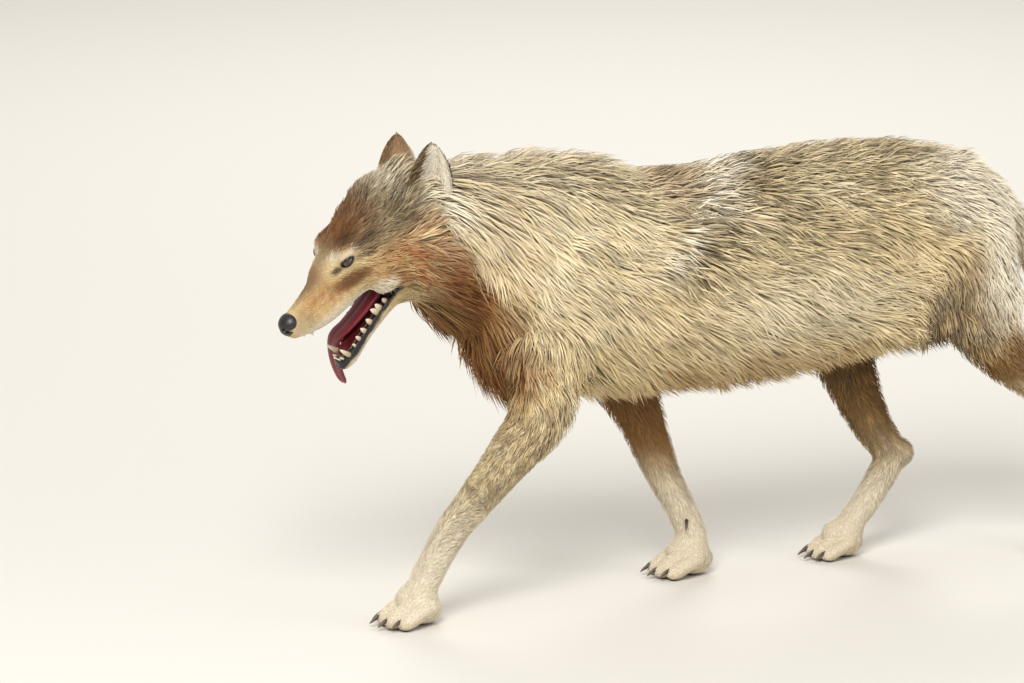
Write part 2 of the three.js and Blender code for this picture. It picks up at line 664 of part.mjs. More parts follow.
const upperTeeth = joined([
  ...pair({ x: -192, side: 17, z: -10, way: [-0.1, 0.05, -1], bend: [0.12, 0, 0], length: 27, radius: 5 },
    headFrame),
  ...pair({ x: -205, side: 4, z: -10, way: [-0.1, 0, -1], length: 11, radius: 3.2 }, headFrame),
  ...pair({ x: -203, side: 10.5, z: -10, way: [-0.1, 0, -1], length: 13, radius: 3.4 }, headFrame),
]);
const lowerTeeth = joined([
  ...pair({ x: -181, side: 18, z: -28, way: [-0.15, 0.2, 1], bend: [0.08, 0, 0], length: 29, radius: 5 },
    jawFrame),
  ...pair({ x: -195, side: 3.6, z: -32, way: [-0.15, 0, 1], length: 20, radius: 3 }, jawFrame),
  ...pair({ x: -193, side: 10, z: -32, way: [-0.15, 0.1, 1], length: 21, radius: 3.2 }, jawFrame),
  ...pair({ x: -140, side: 26, z: -28, way: [0, 0.1, 1], length: 20, radius: 5, flat: 0.6 }, jawFrame),
  ...pair({ x: -120, side: 30, z: -28, way: [0, 0.1, 1], length: 22, radius: 6, flat: 0.6 }, jawFrame),
  ...pair({ x: -92, side: 36, z: -28, way: [0, 0.1, 1], length: 27, radius: 9, flat: 0.55 }, jawFrame),
]);

const headRegion = region(body, [-250, -140, -190], [130, 140, 190], STEP.head, headFrame);
const BEHIND_HEAD = { at: [56, 0, 0], facing: [1, 0, -0.44] }; // from behind the ears to the throat
const behindHead = (shift) => beyond(BEHIND_HEAD.at, BEHIND_HEAD.facing, shift, headFrame);

// The jaw parts from the head along a line from the corner of the mouth, over its own angle, to the throat.
const JAW_OUTLINE = [[-44, -55], [-20, -62], [4, -80], [16, -104], [40, -220], [-260, -260], [-260, -76], [-150, -62],
  [-110, -39], [-84, -36], [-62, -43]];
const jawBlock = (spread) => through(spreadOut(JAW_OUTLINE, spread), headFrame);

const noseField = (x, y, z) => {
  const pad = blob(NOSE.at, NOSE.radii)(x, y, z);
  const nostril = mirrored(blob([NOSE.at[0] - 15, 11, NOSE.at[2] + 2], [9, 4.6, 5]))(x, y, z);
  return Math.max(pad, -nostril);
};
const nose = region(placed(noseField, headFrame), [-236, -28, -16], [-184, 28, 38], STEP.nose, headFrame);

const eyeball = (side, radius) =>
  inFrame(new THREE.SphereGeometry(radius, 12, 8).translate(EYE.at[0], side * EYE.at[1], EYE.at[2]), headFrame);
const [eyeLeft, eyeRight] = [-1, 1].map((side) => eyeball(side, EYE.radius));
const sockets = [-1, 1].map((side) => eyeball(side, EYE.radius + 1));

/** An ear: a cupped leaf from its root in the skull to its tip, open to one side. */
function earGeometry({ root, tip, opening }) {
  const along = vec(tip).sub(vec(root));
  const open = vec(opening).projectOnPlane(along).normalize();
  const across = along.clone().cross(open).normalize();
  const count = 5;
  const rings = [-0.25, 0, 0.25, 0.5, 0.72, 0.9, 1].map((t) => {
    const s = Math.max(t, 0);
    const half = (EAR.width / 2) * Math.pow(1 - s * s, 0.7) + 1.5;
    const cup = EAR.cup * (1.25 - 0.55 * s);
    const bend = half / Math.sin(cup);
    const thick = EAR.thick * (1 - 0.55 * s);
    const arc = (radius) => Array.from({ length: count }, (_, j) => {
      const a = cup * ((2 * j) / (count - 1) - 1);
      return vec(root).addScaledVector(along, t)
        .addScaledVector(across, radius * Math.sin(a))
        .addScaledVector(open, bend * Math.cos(cup) - radius * Math.cos(a));
    });
    return [...arc(bend), ...arc(bend + thick).reverse()];
  });
  return loft(rings, true);
}

// The tongue lies along the floor of the mouth and hangs out over the right side of the jaw.
const tongueField = limb([
  { at: [-218, 37, -72], r: [11, 6, 6] }, // tip
  { at: [-205, 37, -53], r: [15, 6, 6] },
  { at: [-184, 36, -32], r: [16, 6, 6] },
  { at: [-164, 29, -17], r: [17, 6, 7] },
  { at: [-138, 15, -16], r: [19, 6, 8] },
  { at: [-105, 5, -17], r: [22, 7, 9] },
  { at: [-65, 0, -19], r: [25, 8, 10] },
  { at: [-28, 0, -23], r: [26, 9, 11] },
], 0.9);
const tongue = region(placed(tongueField, jawFrame), [-240, -40, -95], [-10, 70, 10], STEP.tongue, jawFrame);

const cleared = grown(nose, 0.8).add(joined(sockets)).add(grown(tongue, 1));
const headPart = largest(headRegion.subtract(behindHead(-GAP)).subtract(jawBlock(GAP)).subtract(cleared));
const aroundTongue = grown(tongue, 1);
const jawPart = largest(headRegion.subtract(behindHead(-GAP)).intersect(jawBlock(0)).subtract(aroundTongue));
add("head", largest(headPart.add(upperTeeth.subtract(jawBlock(GAP)).subtract(cleared))), COLOUR.face);
add("lower_jaw", largest(jawPart.add(lowerTeeth.intersect(jawBlock(0)).subtract(aroundTongue))), COLOUR.pale);
add("tongue", tongue, COLOUR.mouth);
add("nose", nose, COLOUR.nose);
add("eye_left", eyeLeft, COLOUR.eye);
add("eye_right", eyeRight, COLOUR.eye);

// ---------------------------------------------------------------- neck, trunk and tail

const TORSO = [[-620, -200, 300], [662, 200, 800]];
// From the withers to the front of the chest.
const NECK_CUT = { at: [-262, 0, 610], facing: [-0.93, 0, 0.37] };
const TAIL_OUTLINE = [[566, 705], [628, 585], [640, 545], [660, 490], [684, 420], [702, 350], [716, 262],
  [840, 262], [840, 480], [760, 610], [670, 705]];
const tailBlock = (spread) => through(spreadOut(TAIL_OUTLINE, spread));
const legBlock = ({ side, upper }, spread) => {
  const ends = [upper.inner - spread, BIG / 2].map((y) => side * y).sort((a, b) => a - b);
  return through(spreadOut(upper.outline, spread), worldFrame, ...ends);
};

const torso = region(body, ...TORSO, STEP.torso);
const neckBlock = beyond(NECK_CUT.at, NECK_CUT.facing, 0);
const neckPart = largest(torso.intersect(behindHead(GAP)).intersect(neckBlock));
add("neck", neckPart, COLOUR.pale);
const clearOfHead = (made) => largest(made.subtract(grown(headPart, 0.8)).subtract(grown(neckPart, 0.8)));
add("ear_left", clearOfHead(inFrame(earGeometry(EAR_LEFT), headFrame)), COLOUR.ear);
add("ear_right", clearOfHead(inFrame(earGeometry(EAR_RIGHT), headFrame)), COLOUR.ear);
let trunkPart = torso.subtract(beyond(NECK_CUT.at, NECK_CUT.facing, -GAP)).subtract(tailBlock(GAP));
for (const leg of Object.values(LEGS)) trunkPart = trunkPart.subtract(legBlock(leg, GAP));
add("trunk", largest(trunkPart), COLOUR.back);
const tailRegion = region(body, [560, -62, 240], [840, 66, 720], STEP.tail);
add("tail", largest(tailRegion.intersect(tailBlock(0))), COLOUR.tail);

// ---------------------------------------------------------------- legs and claws

const aboveGround = beyond([0, 0, 0], [0, 0, 1], 0);
// Each toe's place to the side and ahead, in shares of the foot's width and length.
const TOE_PLACES = [[-0.385, 0.29], [-0.165, 0.42], [0.165, 0.42], [0.385, 0.29]];
const toesOf = ({ length, width, toe }) =>
  TOE_PLACES.map(([side, lead]) => ({
    base: [-lead * length - toe * 0.45, side * width * 1.0, toe * 1.05],
    way: [-1, side * 0.25, -0.3],
    bend: [0, 0, -0.22],
    length: CLAW.length,
    radius: CLAW.radius,
    flat: 0.75,
  }));

/** The large pad a foot stands on, in its own frame. */
const padOf = ({ length, width }) =>
  new THREE.SphereGeometry(1, 8, 6).scale(0.24 * length, 0.3 * width, 14).translate(0.12 * length, 0, 8);

for (const [name, leg] of Object.entries(LEGS)) {
  const [high, low] = [leg.upper.outline, leg.low].map((points) => ({
    from: [Math.min(...points.map((p) => p[0])), Math.min(...points.map((p) => p[1]))],
    to: [Math.max(...points.map((p) => p[0])), Math.max(...points.map((p) => p[1]))],
  }));
  const sideways = (a, b) => [leg.side * a, leg.side * b].sort((p, q) => p - q);
  const [highFrom, highTo] = sideways(leg.upper.inner - 12, 200);
  const upper = region(body, [high.from[0] - 5, highFrom, high.from[1] - 5],
    [high.to[0] + 5, highTo, high.to[1] + 5], STEP.upperLeg);
  const [lowFrom, lowTo] = sideways(0, 150);
  const lower = region(body, [low.from[0], lowFrom, -26], [low.to[0], lowTo, low.to[1]], STEP.lowerLeg);
  const below = leg.cuts.map(({ at, down }) => ({ cut: beyond(at, down, 0), clear: beyond(at, down, -GAP) }));
  const claws = toesOf(leg.foot.size).map((toe) => inFrame(spike(toe), leg.foot.frame));
  if (leg.dewclaw) claws.push(solid(spike({ ...leg.dewclaw, length: 20, radius: 4 })));
  const clearOfClaws = (made) => largest(made.subtract(joined(claws.map((c) => grown(c)))));
  const names = leg.names.map((part) => `${name}_${part}`);
  add(names[0], largest(upper.intersect(legBlock(leg, 0)).subtract(below[0].clear).subtract(tailBlock(GAP))),
    COLOUR.back);
  add(names[1], largest(lower.intersect(below[0].cut).subtract(below[1].clear)), COLOUR.pale);
  const pad = inFrame(padOf(leg.foot.size), leg.foot.frame);
  add(names[2], clearOfClaws(lower.intersect(below[1].cut).add(pad).intersect(aboveGround)), COLOUR.pale);
  claws.forEach((claw, i) => add(i < 4 ? `${name}_claw_${i + 1}` : `${name}_dewclaw`, claw, COLOUR.claw));
}

// ---------------------------------------------------------------- the wolf's own frame

// The origin is the middle of the foot of the whole wolf's box.
const box = new THREE.Box3().setFromObject(wolf);
const middle = box.getCenter(new THREE.Vector3());
for (const mesh of wolf.children) mesh.geometry.translate(-middle.x, -middle.y, -box.min.z);

export default wolf;
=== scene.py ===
"""A walking grey wolf, life size: one skin over the body, its coat in tufts, and its eyes, nose, mouth and claws.

Shapes are worked out in millimetres in the maker's frame, where the wolf walks towards -X with its left side to
-Y, and `to_frame` brings them to the row's frame in metres.
"""

import math

import bmesh
import bpy
import numpy as np
import openvdb
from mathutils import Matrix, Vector


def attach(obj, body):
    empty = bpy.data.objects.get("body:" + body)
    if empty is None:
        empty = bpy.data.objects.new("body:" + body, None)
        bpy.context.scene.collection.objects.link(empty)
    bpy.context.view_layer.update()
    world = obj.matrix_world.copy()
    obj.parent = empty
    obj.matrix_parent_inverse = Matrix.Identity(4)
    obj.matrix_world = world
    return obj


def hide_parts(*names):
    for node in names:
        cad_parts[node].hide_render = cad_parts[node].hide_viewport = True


bl_info = {
    "name": "Grey wolf",
    "version": (1, 0, 0),
    "blender": (4, 5, 0),
    "location": "3D View > Sidebar > Wolf",
    "description": "Builds the looks of a walking grey wolf around its packed solids",
    "category": "Add Mesh",
}

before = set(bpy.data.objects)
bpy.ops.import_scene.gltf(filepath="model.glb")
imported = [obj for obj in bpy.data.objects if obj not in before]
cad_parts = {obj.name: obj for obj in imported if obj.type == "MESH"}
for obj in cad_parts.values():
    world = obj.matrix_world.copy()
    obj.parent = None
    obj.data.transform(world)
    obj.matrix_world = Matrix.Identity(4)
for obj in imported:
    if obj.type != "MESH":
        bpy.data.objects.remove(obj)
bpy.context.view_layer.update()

SHIFT = np.array([-48.4926, 0.0, 0.0])  # from the maker's frame to the middle of the whole wolf's box, in mm


def to_frame(places):
    """Maker's millimetres to the row's metres."""
    return (np.asarray(places, float) + SHIFT) / 1000.0


# ---------------------------------------------------------------- small numeric helpers


def unit(v):
    """Vectors scaled to length one: v / |v|."""
    v = np.asarray(v, float)
    return v / np.maximum(np.linalg.norm(v, axis=-1, keepdims=True), 1e-12)


def step_up(x, low, high):
    """0 below low, 1 above high, and t^2 (3 - 2 t) between them, where t is the share of the way."""
    t = np.clip((x - low) / (high - low), 0.0, 1.0)
    return t * t * (3.0 - 2.0 * t)


def soften(a, b, k):
    """The smaller of two fields less h^2 k / 4, which rounds their crease, where h is 1 - |a - b| / k or 0."""
    h = np.maximum(k - np.abs(a - b), 0.0) / k
    return np.minimum(a, b) - h * h * k / 4.0


def carve(a, b, k):
    """Field a with b taken out of it, -soften(-a, b), so that the edge is rounded over k mm."""
    return -soften(-a, b, k)


def smooth_path(points, counts):
    """A centripetal Catmull-Rom path through the points, cut evenly into `counts` links per span."""
    p = np.asarray(points, float)
    p = np.vstack([2 * p[0] - p[1], p, 2 * p[-1] - p[-2]])
    out = []
    for i in range(1, len(p) - 2):
        x0, x1, x2, x3 = p[i - 1 : i + 3]
        d0, d1, d2 = (math.sqrt(np.linalg.norm(b - a)) for a, b in ((x0, x1), (x1, x2), (x2, x3)))
        d1 = d1 if d1 > 1e-4 else 1.0
        d0 = d0 if d0 > 1e-4 else d1
        d2 = d2 if d2 > 1e-4 else d1
        t1 = ((x1 - x0) / d0 - (x2 - x0) / (d0 + d1) + (x2 - x1) / d1) * d1
        t2 = ((x2 - x1) / d1 - (x3 - x1) / (d1 + d2) + (x3 - x2) / d2) * d1
        w = (np.arange(counts) / counts)[:, None]
        out.append(x1 + t1 * w + (3 * (x2 - x1) - 2 * t1 - t2) * w**2 + (2 * (x1 - x2) + t1 + t2) * w**3)
    return np.vstack(out + [p[-2][None]])


def turn(pitch, yaw):
    """Rotation that turns a frame nose down by pitch, then nose left by yaw, in degrees."""
    p, w = math.radians(-pitch), math.radians(yaw)
    about_y = np.array([[math.cos(p), 0, math.sin(p)], [0, 1, 0], [-math.sin(p), 0, math.cos(p)]])
    about_z = np.array([[math.cos(w), -math.sin(w), 0], [math.sin(w), math.cos(w), 0], [0, 0, 1]])
    return about_z @ about_y


# ---------------------------------------------------------------- frames of the head, jaw and feet

HEAD_AT, HEAD_TURN = np.array([-510.0, -18.0, 629.0]), turn(33, 8)
JAW_TURN = HEAD_TURN @ turn(24, 0)


def from_head(places):
    """From the head's frame to the maker's: turned by HEAD_TURN, then moved to HEAD_AT."""
    return HEAD_AT + np.asarray(places, float) @ HEAD_TURN.T


def to_head(places):
    """From the maker's frame to the head's."""
    return (places - HEAD_AT) @ HEAD_TURN


def from_jaw(places):
    """From the jaw's frame to the maker's: turned by JAW_TURN about the same place as the head."""
    return HEAD_AT + np.asarray(places, float) @ JAW_TURN.T


def to_jaw(places):
    """From the maker's frame to the jaw's."""
    return (places - HEAD_AT) @ JAW_TURN


def behind_head(h):
    """How far places in the head's frame lie behind a plane through its middle that leans back, x - 0.44 z."""
    return h[:, 0] - 0.44 * h[:, 2]


def folded(q):
    """Places with their left half mirrored onto the right one."""
    q = q.copy()
    q[:, 1] = np.abs(q[:, 1])
    return q


# ---------------------------------------------------------------- fields
# A field gives about the distance in mm from places to a surface, negative inside it.

FAR = 110.0  # mm beyond which a field only says how far its box is


def to_line(x, z, start, end):
    """Seen from the side: how far places are from a straight line, and the share along it, from 0 to 1."""
    (x0, z0), (x1, z1) = start, end
    dx, dz = x1 - x0, z1 - z0
    t = np.clip(((x - x0) * dx + (z - z0) * dz) / (dx * dx + dz * dz), 0, 1)
    return np.hypot(x - x0 - t * dx, z - z0 - t * dz), t


def ellipsoid_distance(x, y, z, a, b, c):
    """About the distance to an ellipsoid: k0 (k0 - 1) / k1, k0 being |p / radii| and k1 |p / radii^2|."""
    k0 = np.sqrt((x / a) ** 2 + (y / b) ** 2 + (z / c) ** 2)
    k1 = np.sqrt((x / a**2) ** 2 + (y / b**2) ** 2 + (z / c**2) ** 2)
    return k0 * (k0 - 1.0) / np.maximum(k1, 1e-6)


def blob(at, radii):
    """The field of an ellipsoid."""
    return lambda p: ellipsoid_distance(p[:, 0] - at[0], p[:, 1] - at[1], p[:, 2] - at[2], *radii)


class Limb:
    """Ellipses carried along a smooth path. A section is (place, (side, above, below) radii, depth of coat).

    Its field is the least distance to the ellipsoids, each flattened to `cap` of its radius along the path. The layer
    `skin` has the radii less the coat's depth, and `coat` the full ones.
    """

    def __init__(self, sections, cap=0.8, links=4):
        path = smooth_path([s[0] for s in sections], links)
        full = smooth_path([s[1] for s in sections], links)
        depth = np.interp(np.arange(len(path)) / links, np.arange(len(sections)), [s[2] for s in sections])
        self.path, self.cap, self.radii = path, cap, {"coat": full, "skin": full - depth[:, None]}
        along = np.diff(path, axis=0)
        self.length = np.linalg.norm(along, axis=1)
        self.along = along / self.length[:, None]
        side = np.array([0, 1.0, 0]) - self.along * self.along[:, 1:2]
        self.side = unit(side)
        self.above = np.cross(self.along, self.side)
        reach = full.max()
        self.low, self.high = path.min(0) - reach, path.max(0) + reach

    def measure(self, p, layer, wants_way=False):
        """The field at places, and with wants_way the path's direction there as well."""
        outside = np.linalg.norm(np.maximum(np.maximum(self.low - p, p - self.high), 0.0), axis=1)
        near = np.nonzero(outside < FAR)[0]
        result = outside.copy()
        way = np.zeros((len(p), 3)) if wants_way else None
        if len(near):
            q, r = p[near], self.radii[layer]
            best = np.full(len(near), 1e9)
            for i in range(len(self.length)):
                v = q - self.path[i]
                s = v @ self.along[i]
                t = np.clip(s / self.length[i], 0.0, 1.0)
                side, up = v @ self.side[i], v @ self.above[i]
                rs = r[i, 0] + (r[i + 1, 0] - r[i, 0]) * t
                ru = np.where(up > 0, r[i, 1] + (r[i + 1, 1] - r[i, 1]) * t, r[i, 2] + (r[i + 1, 2] - r[i, 2]) * t)
                d = ellipsoid_distance(side, up, s - t * self.length[i], rs, ru, self.cap * np.minimum(rs, ru))
                if wants_way:
                    way[near[d < best]] = self.along[i]
                best = np.minimum(best, d)
            result[near] = best
        return (result, way) if wants_way else result


def thin(layer, depth):
    """What a layer's radii lose: the coat's depth on the skin, and nothing on the coat's own surface."""
    return depth if layer == "skin" else 0.0


# ---------------------------------------------------------------- the body's limbs

TRUNK = Limb([
    ((-285, 0, 588), (112, 172, 172), 42),  # base of the neck
    ((-190, 0, 562), (134, 190, 205), 38),  # shoulders
    ((-90, 0, 545), (142, 193, 203), 36),  # withers
    ((20, 0, 540), (145, 188, 200), 34),  # ribs
    ((130, 0, 545), (143, 190, 207), 34),
    ((240, 0, 553), (138, 191, 205), 34),  # loin
    ((340, 0, 568), (130, 178, 203), 32),  # flank
    ((430, 0, 585), (124, 155, 178), 30),  # croup
    ((515, 0, 588), (112, 130, 148), 28),
    ((575, 0, 580), (88, 98, 116), 26),  # buttocks
])
NECK = Limb([
    ((-472, -17, 645), (98, 128, 122), 36),  # nape and throat
    ((-415, -10, 638), (110, 147, 148), 46),
    ((-340, -4, 622), (116, 160, 156), 49),
    ((-250, 0, 607), (118, 163, 168), 46),
    ((-150, 0, 600), (112, 152, 150), 40),
])
TAIL = Limb([
    ((556, 0, 664), (34, 32, 36), 14),
    ((612, 0, 624), (32, 30, 32), 14),  # root
    ((656, 0, 578), (35, 34, 35), 17),
    ((702, 1, 522), (43, 43, 43), 26),
    ((736, 3, 455), (49, 50, 49), 33),
    ((754, 5, 385), (48, 49, 48), 34),
    ((763, 6, 322), (37, 38, 37), 26),
    ((766, 7, 285), (21, 22, 21), 15),  # tip
], 1.2)

FORE_PAW = (112.0, 86.0, 15.0)  # length, width, toe radius
HIND_PAW = (100.0, 76.0, 13.5)
LEGS = {
    "foreleg_left": {
        "side": -1, "foot": ((-478, -60, 0), 4, FORE_PAW),
        "muscle": ((-222, -82, 520), (78, 52, 138), 26),
        "flesh": Limb([
            ((-262, -86, 470), (46, 70, 60), 24),
            ((-248, -94, 400), (44, 58, 76), 20),
            ((-250, -94, 338), (39, 46, 74), 14),
            ((-308, -86, 276), (34, 40, 50), 9),
            ((-366, -77, 212), (30, 36, 35), 7),
            ((-410, -70, 160), (29, 32, 30), 6),
            ((-442, -66, 108), (28, 30, 28), 5),
            ((-464, -62, 66), (30, 30, 26), 4.5),
            ((-480, -60, 38), (34, 30, 24), 4),
        ]),
    },
    "foreleg_right": {
        "side": 1, "foot": ((68, 52, 0), -3, FORE_PAW),
        "muscle": ((-170, 82, 520), (80, 52, 138), 26),
        "flesh": Limb([
            ((-190, 86, 470), (46, 68, 60), 24),
            ((-112, 92, 400), (44, 72, 58), 20),
            ((-52, 88, 342), (38, 78, 46), 14),
            ((-14, 78, 280), (32, 58, 38), 9),
            ((15, 69, 215), (29, 41, 34), 7),
            ((40, 62, 160), (28, 32, 31), 6),
            ((66, 57, 108), (27, 30, 28), 5),
            ((82, 54, 66), (29, 29, 28), 4.5),
            ((78, 52, 38), (33, 28, 30), 4),
        ]),
    },
    "hindleg_left": {
        "side": -1, "foot": ((734, -60, 0), 3, HIND_PAW),
        "muscle": ((512, -64, 530), (112, 62, 122), 22),
        "hock": ((728, -71, 266), (20, 17, 22), 4), "flank": ((424, -56, 440), (100, 46, 60), 22),
        "flesh": Limb([
            ((510, -68, 545), (50, 108, 92), 22),
            ((528, -78, 470), (52, 112, 84), 20),
            ((552, -84, 408), (46, 92, 54), 15),
            ((606, -82, 348), (37, 56, 42), 10),
            ((660, -77, 302), (30, 41, 33), 7),
            ((704, -72, 258), (27, 36, 28), 6),
            ((726, -67, 180), (25, 28, 26), 5),
            ((744, -63, 100), (26, 27, 26), 4.5),
            ((744, -61, 54), (29, 28, 27), 4),
        ]),
    },
    "hindleg_right": {
        "side": 1, "foot": ((358, 53, 0), -3, HIND_PAW),
        "muscle": ((482, 64, 530), (104, 62, 122), 22),
        "hock": ((488, 61, 168), (20, 17, 22), 4),
        "flesh": Limb([
            ((474, 68, 545), (52, 102, 96), 22),
            ((430, 78, 450), (50, 96, 84), 20),
            ((374, 80, 362), (44, 72, 58), 14),
            ((396, 74, 286), (36, 53, 45), 10),
            ((424, 67, 222), (31, 43, 35), 7),
            ((456, 61, 166), (27, 34, 29), 6),
            ((426, 58, 108), (26, 29, 27), 5),
            ((390, 55, 64), (27, 27, 26), 4.5),
            ((372, 54, 38), (29, 26, 24), 4),
        ]),
    },
}
TOES = ((0.165, 0.42, 1.0), (0.385, 0.29, 0.85))  # side, lead and lift of the inner and outer toes


def make_toes(length, width, toe):
    """The inner and the outer toe of a foot: a short path of near balls from the tip to the instep."""
    return [
        Limb([
            ((-lead * length, side * width, toe * 0.8), (toe * 0.92, toe * 0.9, toe), 1.5),
            (((0.16 - lead) * length, side * width * 1.02, toe * 1.7 * lift), (toe, toe, toe), 2.0),
            (((0.42 - lead) * length, side * width * 0.85, toe * 2.5 * lift), (toe, toe, toe), 3.0),
        ], 0.95)
        for side, lead, lift in TOES
    ]


for leg in LEGS.values():
    leg["toes"] = make_toes(*leg["foot"][2])


def to_foot(leg, places):
    """From the maker's frame to a foot's, whose toes point to -X."""
    at, yaw, _ = leg["foot"]
    return (places - np.array(at, float)) @ turn(0, yaw)


def from_foot(leg, places):
    """From a foot's frame to the maker's."""
    at, yaw, _ = leg["foot"]
    return np.array(at, float) + np.asarray(places, float) @ turn(0, yaw).T


def foot_field(leg, places, layer):
    """The pad, instep and toes, with the furrows between the toes a little deeper in the skin."""
    length, width, _ = leg["foot"][2]
    q = to_foot(leg, places)
    c = thin(layer, 3.0)
    pad = blob((0.13 * length, 0, 25), (0.34 * length - c, 0.38 * width - c, 27))(q)
    instep = blob((0.02 * length, 0, 40), (0.32 * length - c, 0.34 * width - c, 27 - c))(q)
    d = soften(pad, instep, 12)
    q = folded(q)
    for toe in leg["toes"]:
        d = soften(d, toe.measure(q, layer), 6 if layer == "coat" else 4)
    return d


def leg_field(leg, p, layer):
    """The leg's path joined to its foot, then to its hock, flank and muscle where it has them."""
    d = soften(leg["flesh"].measure(p, layer), foot_field(leg, p, layer), 16)
    for key, k in (("hock", 24), ("flank", 40), ("muscle", 30)):
        if key in leg:
            at, radii, depth = leg[key]
            d = soften(d, blob(at, np.array(radii) - thin(layer, depth))(p), k)
    return d


# ---------------------------------------------------------------- the head, in its own frame

SKULL = Limb([
    ((-112, 0, 16), (40, 40, 40), 3),  # root of the muzzle
    ((-90, 0, 22), (48, 46, 46), 4),  # stop
    ((-60, 0, 26), (62, 61, 54), 7),  # brow
    ((-22, 0, 26), (76, 79, 66), 12),  # forehead
    ((28, 0, 26), (80, 95, 76), 18),  # crown
    ((74, 0, 26), (74, 96, 70), 25),  # occiput
], 0.6)
BRIDGE = Limb([
    ((-206, 0, 8), (16, 18, 18), 1.6),
    ((-160, 0, 13), (19, 25, 24), 2.0),
    ((-120, 0, 20), (25, 31, 28), 2.5),
    ((-88, 0, 26), (34, 40, 30), 3.5),
])
FLEWS = Limb([
    ((-208, 0, 0), (21, 15, 18), 1.4),  # lip under the nose
    ((-190, 0, -2), (31, 22, 25), 2.0),
    ((-150, 0, -4), (38, 26, 33), 2.6),
    ((-115, 0, -3), (43, 30, 31), 3.0),
    ((-85, 0, 3), (50, 36, 32), 4.0),
])
JAW = {
    "coat": Limb([
        ((-197, 0, -29), (18, 10, 18), 0),  # chin
        ((-182, 0, -30), (25, 11, 23), 0),
        ((-140, 0, -30), (32, 11, 23), 0),
        ((-90, 0, -31), (42, 10, 30), 0),
        ((-40, 0, -36), (53, 9, 40), 0),
        ((10, 0, -42), (58, 20, 44), 0),  # angle of the jaw
    ], 0.7),
    "skin": Limb([  # no hair on the lip, and more and more of it below
        ((-197, 0, -29), (15.5, 9, 15), 0),
        ((-182, 0, -30), (22.5, 10, 19), 0),
        ((-140, 0, -30), (29, 10, 19), 0),
        ((-90, 0, -31), (38, 9, 25), 0),
        ((-40, 0, -36), (46, 8, 33), 0),
        ((10, 0, -42), (48, 14, 34), 0),
    ], 0.7),
}
PALATE = Limb([
    ((-198, 0, -26), (17, 16, 24), 0),
    ((-150, 0, -32), (25, 24, 24), 0),
    ((-95, 0, -38), (31, 27, 24), 0),
    ((-40, 0, -50), (34, 26, 20), 0),
])
MOUTH_FLOOR = Limb([
    ((-180, 0, -16), (13, 12, 10), 0),
    ((-140, 0, -15), (21, 14, 13), 0),
    ((-90, 0, -14), (30, 16, 17), 0),
    ((-36, 0, -14), (37, 20, 20), 0),
])
EYE_AT, EYE_RADIUS = np.array([-79.0, 39.0, 49.0]), 13.5
EYE_AXIS = unit(np.array([-0.50, 0.84, 0.16]))  # where the eye looks, for the right side; the left one is mirrored
EYE_LONG = unit(np.array([-0.83, -0.42, -0.17]))  # from the outer corner to the inner one, roughly across the axis
EAR_SHAPES = {
    "left": {"side": -1, "root": (86, -60, 40), "tip": (141, -68, 122), "opening": (-0.1, -1, -0.1)},
    "right": {"side": 1, "root": (87, 57, 31), "tip": (144, 64, 113), "opening": (-0.25, 1, -0.1)},
}


def eye_frame(side):
    """The eye's middle, its axis, and the long and short ways across it, in the head's frame."""
    flip = np.array([1, side, 1.0])
    axis = EYE_AXIS * flip
    long = EYE_LONG * flip
    long = unit(long - axis * (long @ axis))
    up = np.cross(axis, long)
    return EYE_AT * flip, axis, long, up * np.sign(up[2])


def mirrored_blob(p, at, radii):
    """The field of an ellipsoid on the right, and its mirror image on the left."""
    return blob(at, radii)(folded(p))


def gape(p):
    """The wedge between the lips, a round-ended slot that runs right through sideways."""
    corner, front = (-47, -55), (-212, -92)
    r0, r1 = 18, 58  # half its height at the corner of the mouth and at the front
    d, t = to_line(p[:, 0], p[:, 2], corner, front)
    return d - (r0 + (r1 - r0) * t)


def head_fields(h, layer):
    """From places in the head's frame: the closed head, the gape, the jaw, and the hollow of the mouth."""

    def r(radii, depth):
        return np.array(radii, float) - thin(layer, depth)

    d = soften(BRIDGE.measure(h, layer), FLEWS.measure(h, layer), 14)
    d = soften(d, SKULL.measure(h, layer), 16)
    d = soften(d, mirrored_blob(h, (-24, 48, -12), r((52, 30, 44), 7)), 22)  # cheek
    d = soften(d, mirrored_blob(h, (40, 62, -30), r((58, 40, 66), 24)), 30)  # ruff
    d = soften(d, mirrored_blob(h, (-66, 30, 67), r((25, 20, 14), 4)), 14)  # brow
    d = soften(d, mirrored_blob(h, (44, 48, 66), r((38, 26, 26), 7)), 20)  # ear root
    j = h @ turn(24, 0)
    jaw = JAW[layer].measure(j, layer)
    hollow = np.minimum(PALATE.measure(h, "coat"), MOUTH_FLOOR.measure(j, "coat"))
    return d, gape(h), jaw, hollow


def eye_place(h):
    """From places in the head's frame: how far along the right eye's axis, and across it the long way and up."""
    at, axis, long, up = eye_frame(1)
    q = h * [1, 0, 1] + np.abs(h[:, 1:2]) * [0, 1, 0] - at
    return q @ axis, q @ long, q @ up


def head_field(p, layer):
    """The head with its eye sockets, less the gape, joined to the jaw, less the hollow of the mouth."""
    h = to_head(p)
    d, wedge, jaw, hollow = head_fields(h, layer)
    if layer == "skin":
        out, long, up = eye_place(h)
        ball = np.sqrt(out**2 + long**2 + up**2) - (EYE_RADIUS + 1.1)
        d = soften(d, ball, 9)
        almond = (np.abs(long / 12.6) ** 1.7 + np.abs((up + 0.6) / 4.2) ** 1.7) ** (1 / 1.7)
        d = carve(d, np.maximum((almond - 1) * 6.0, 4.0 - out), 1.0)
    d = carve(d, wedge, 4)
    d = soften(d, jaw, 12)
    return carve(d, hollow, 3)


HEAD_LOW, HEAD_HIGH = np.array([-250, -140, -215.0]), np.array([150, 140, 190.0])  # a box round it, in its frame


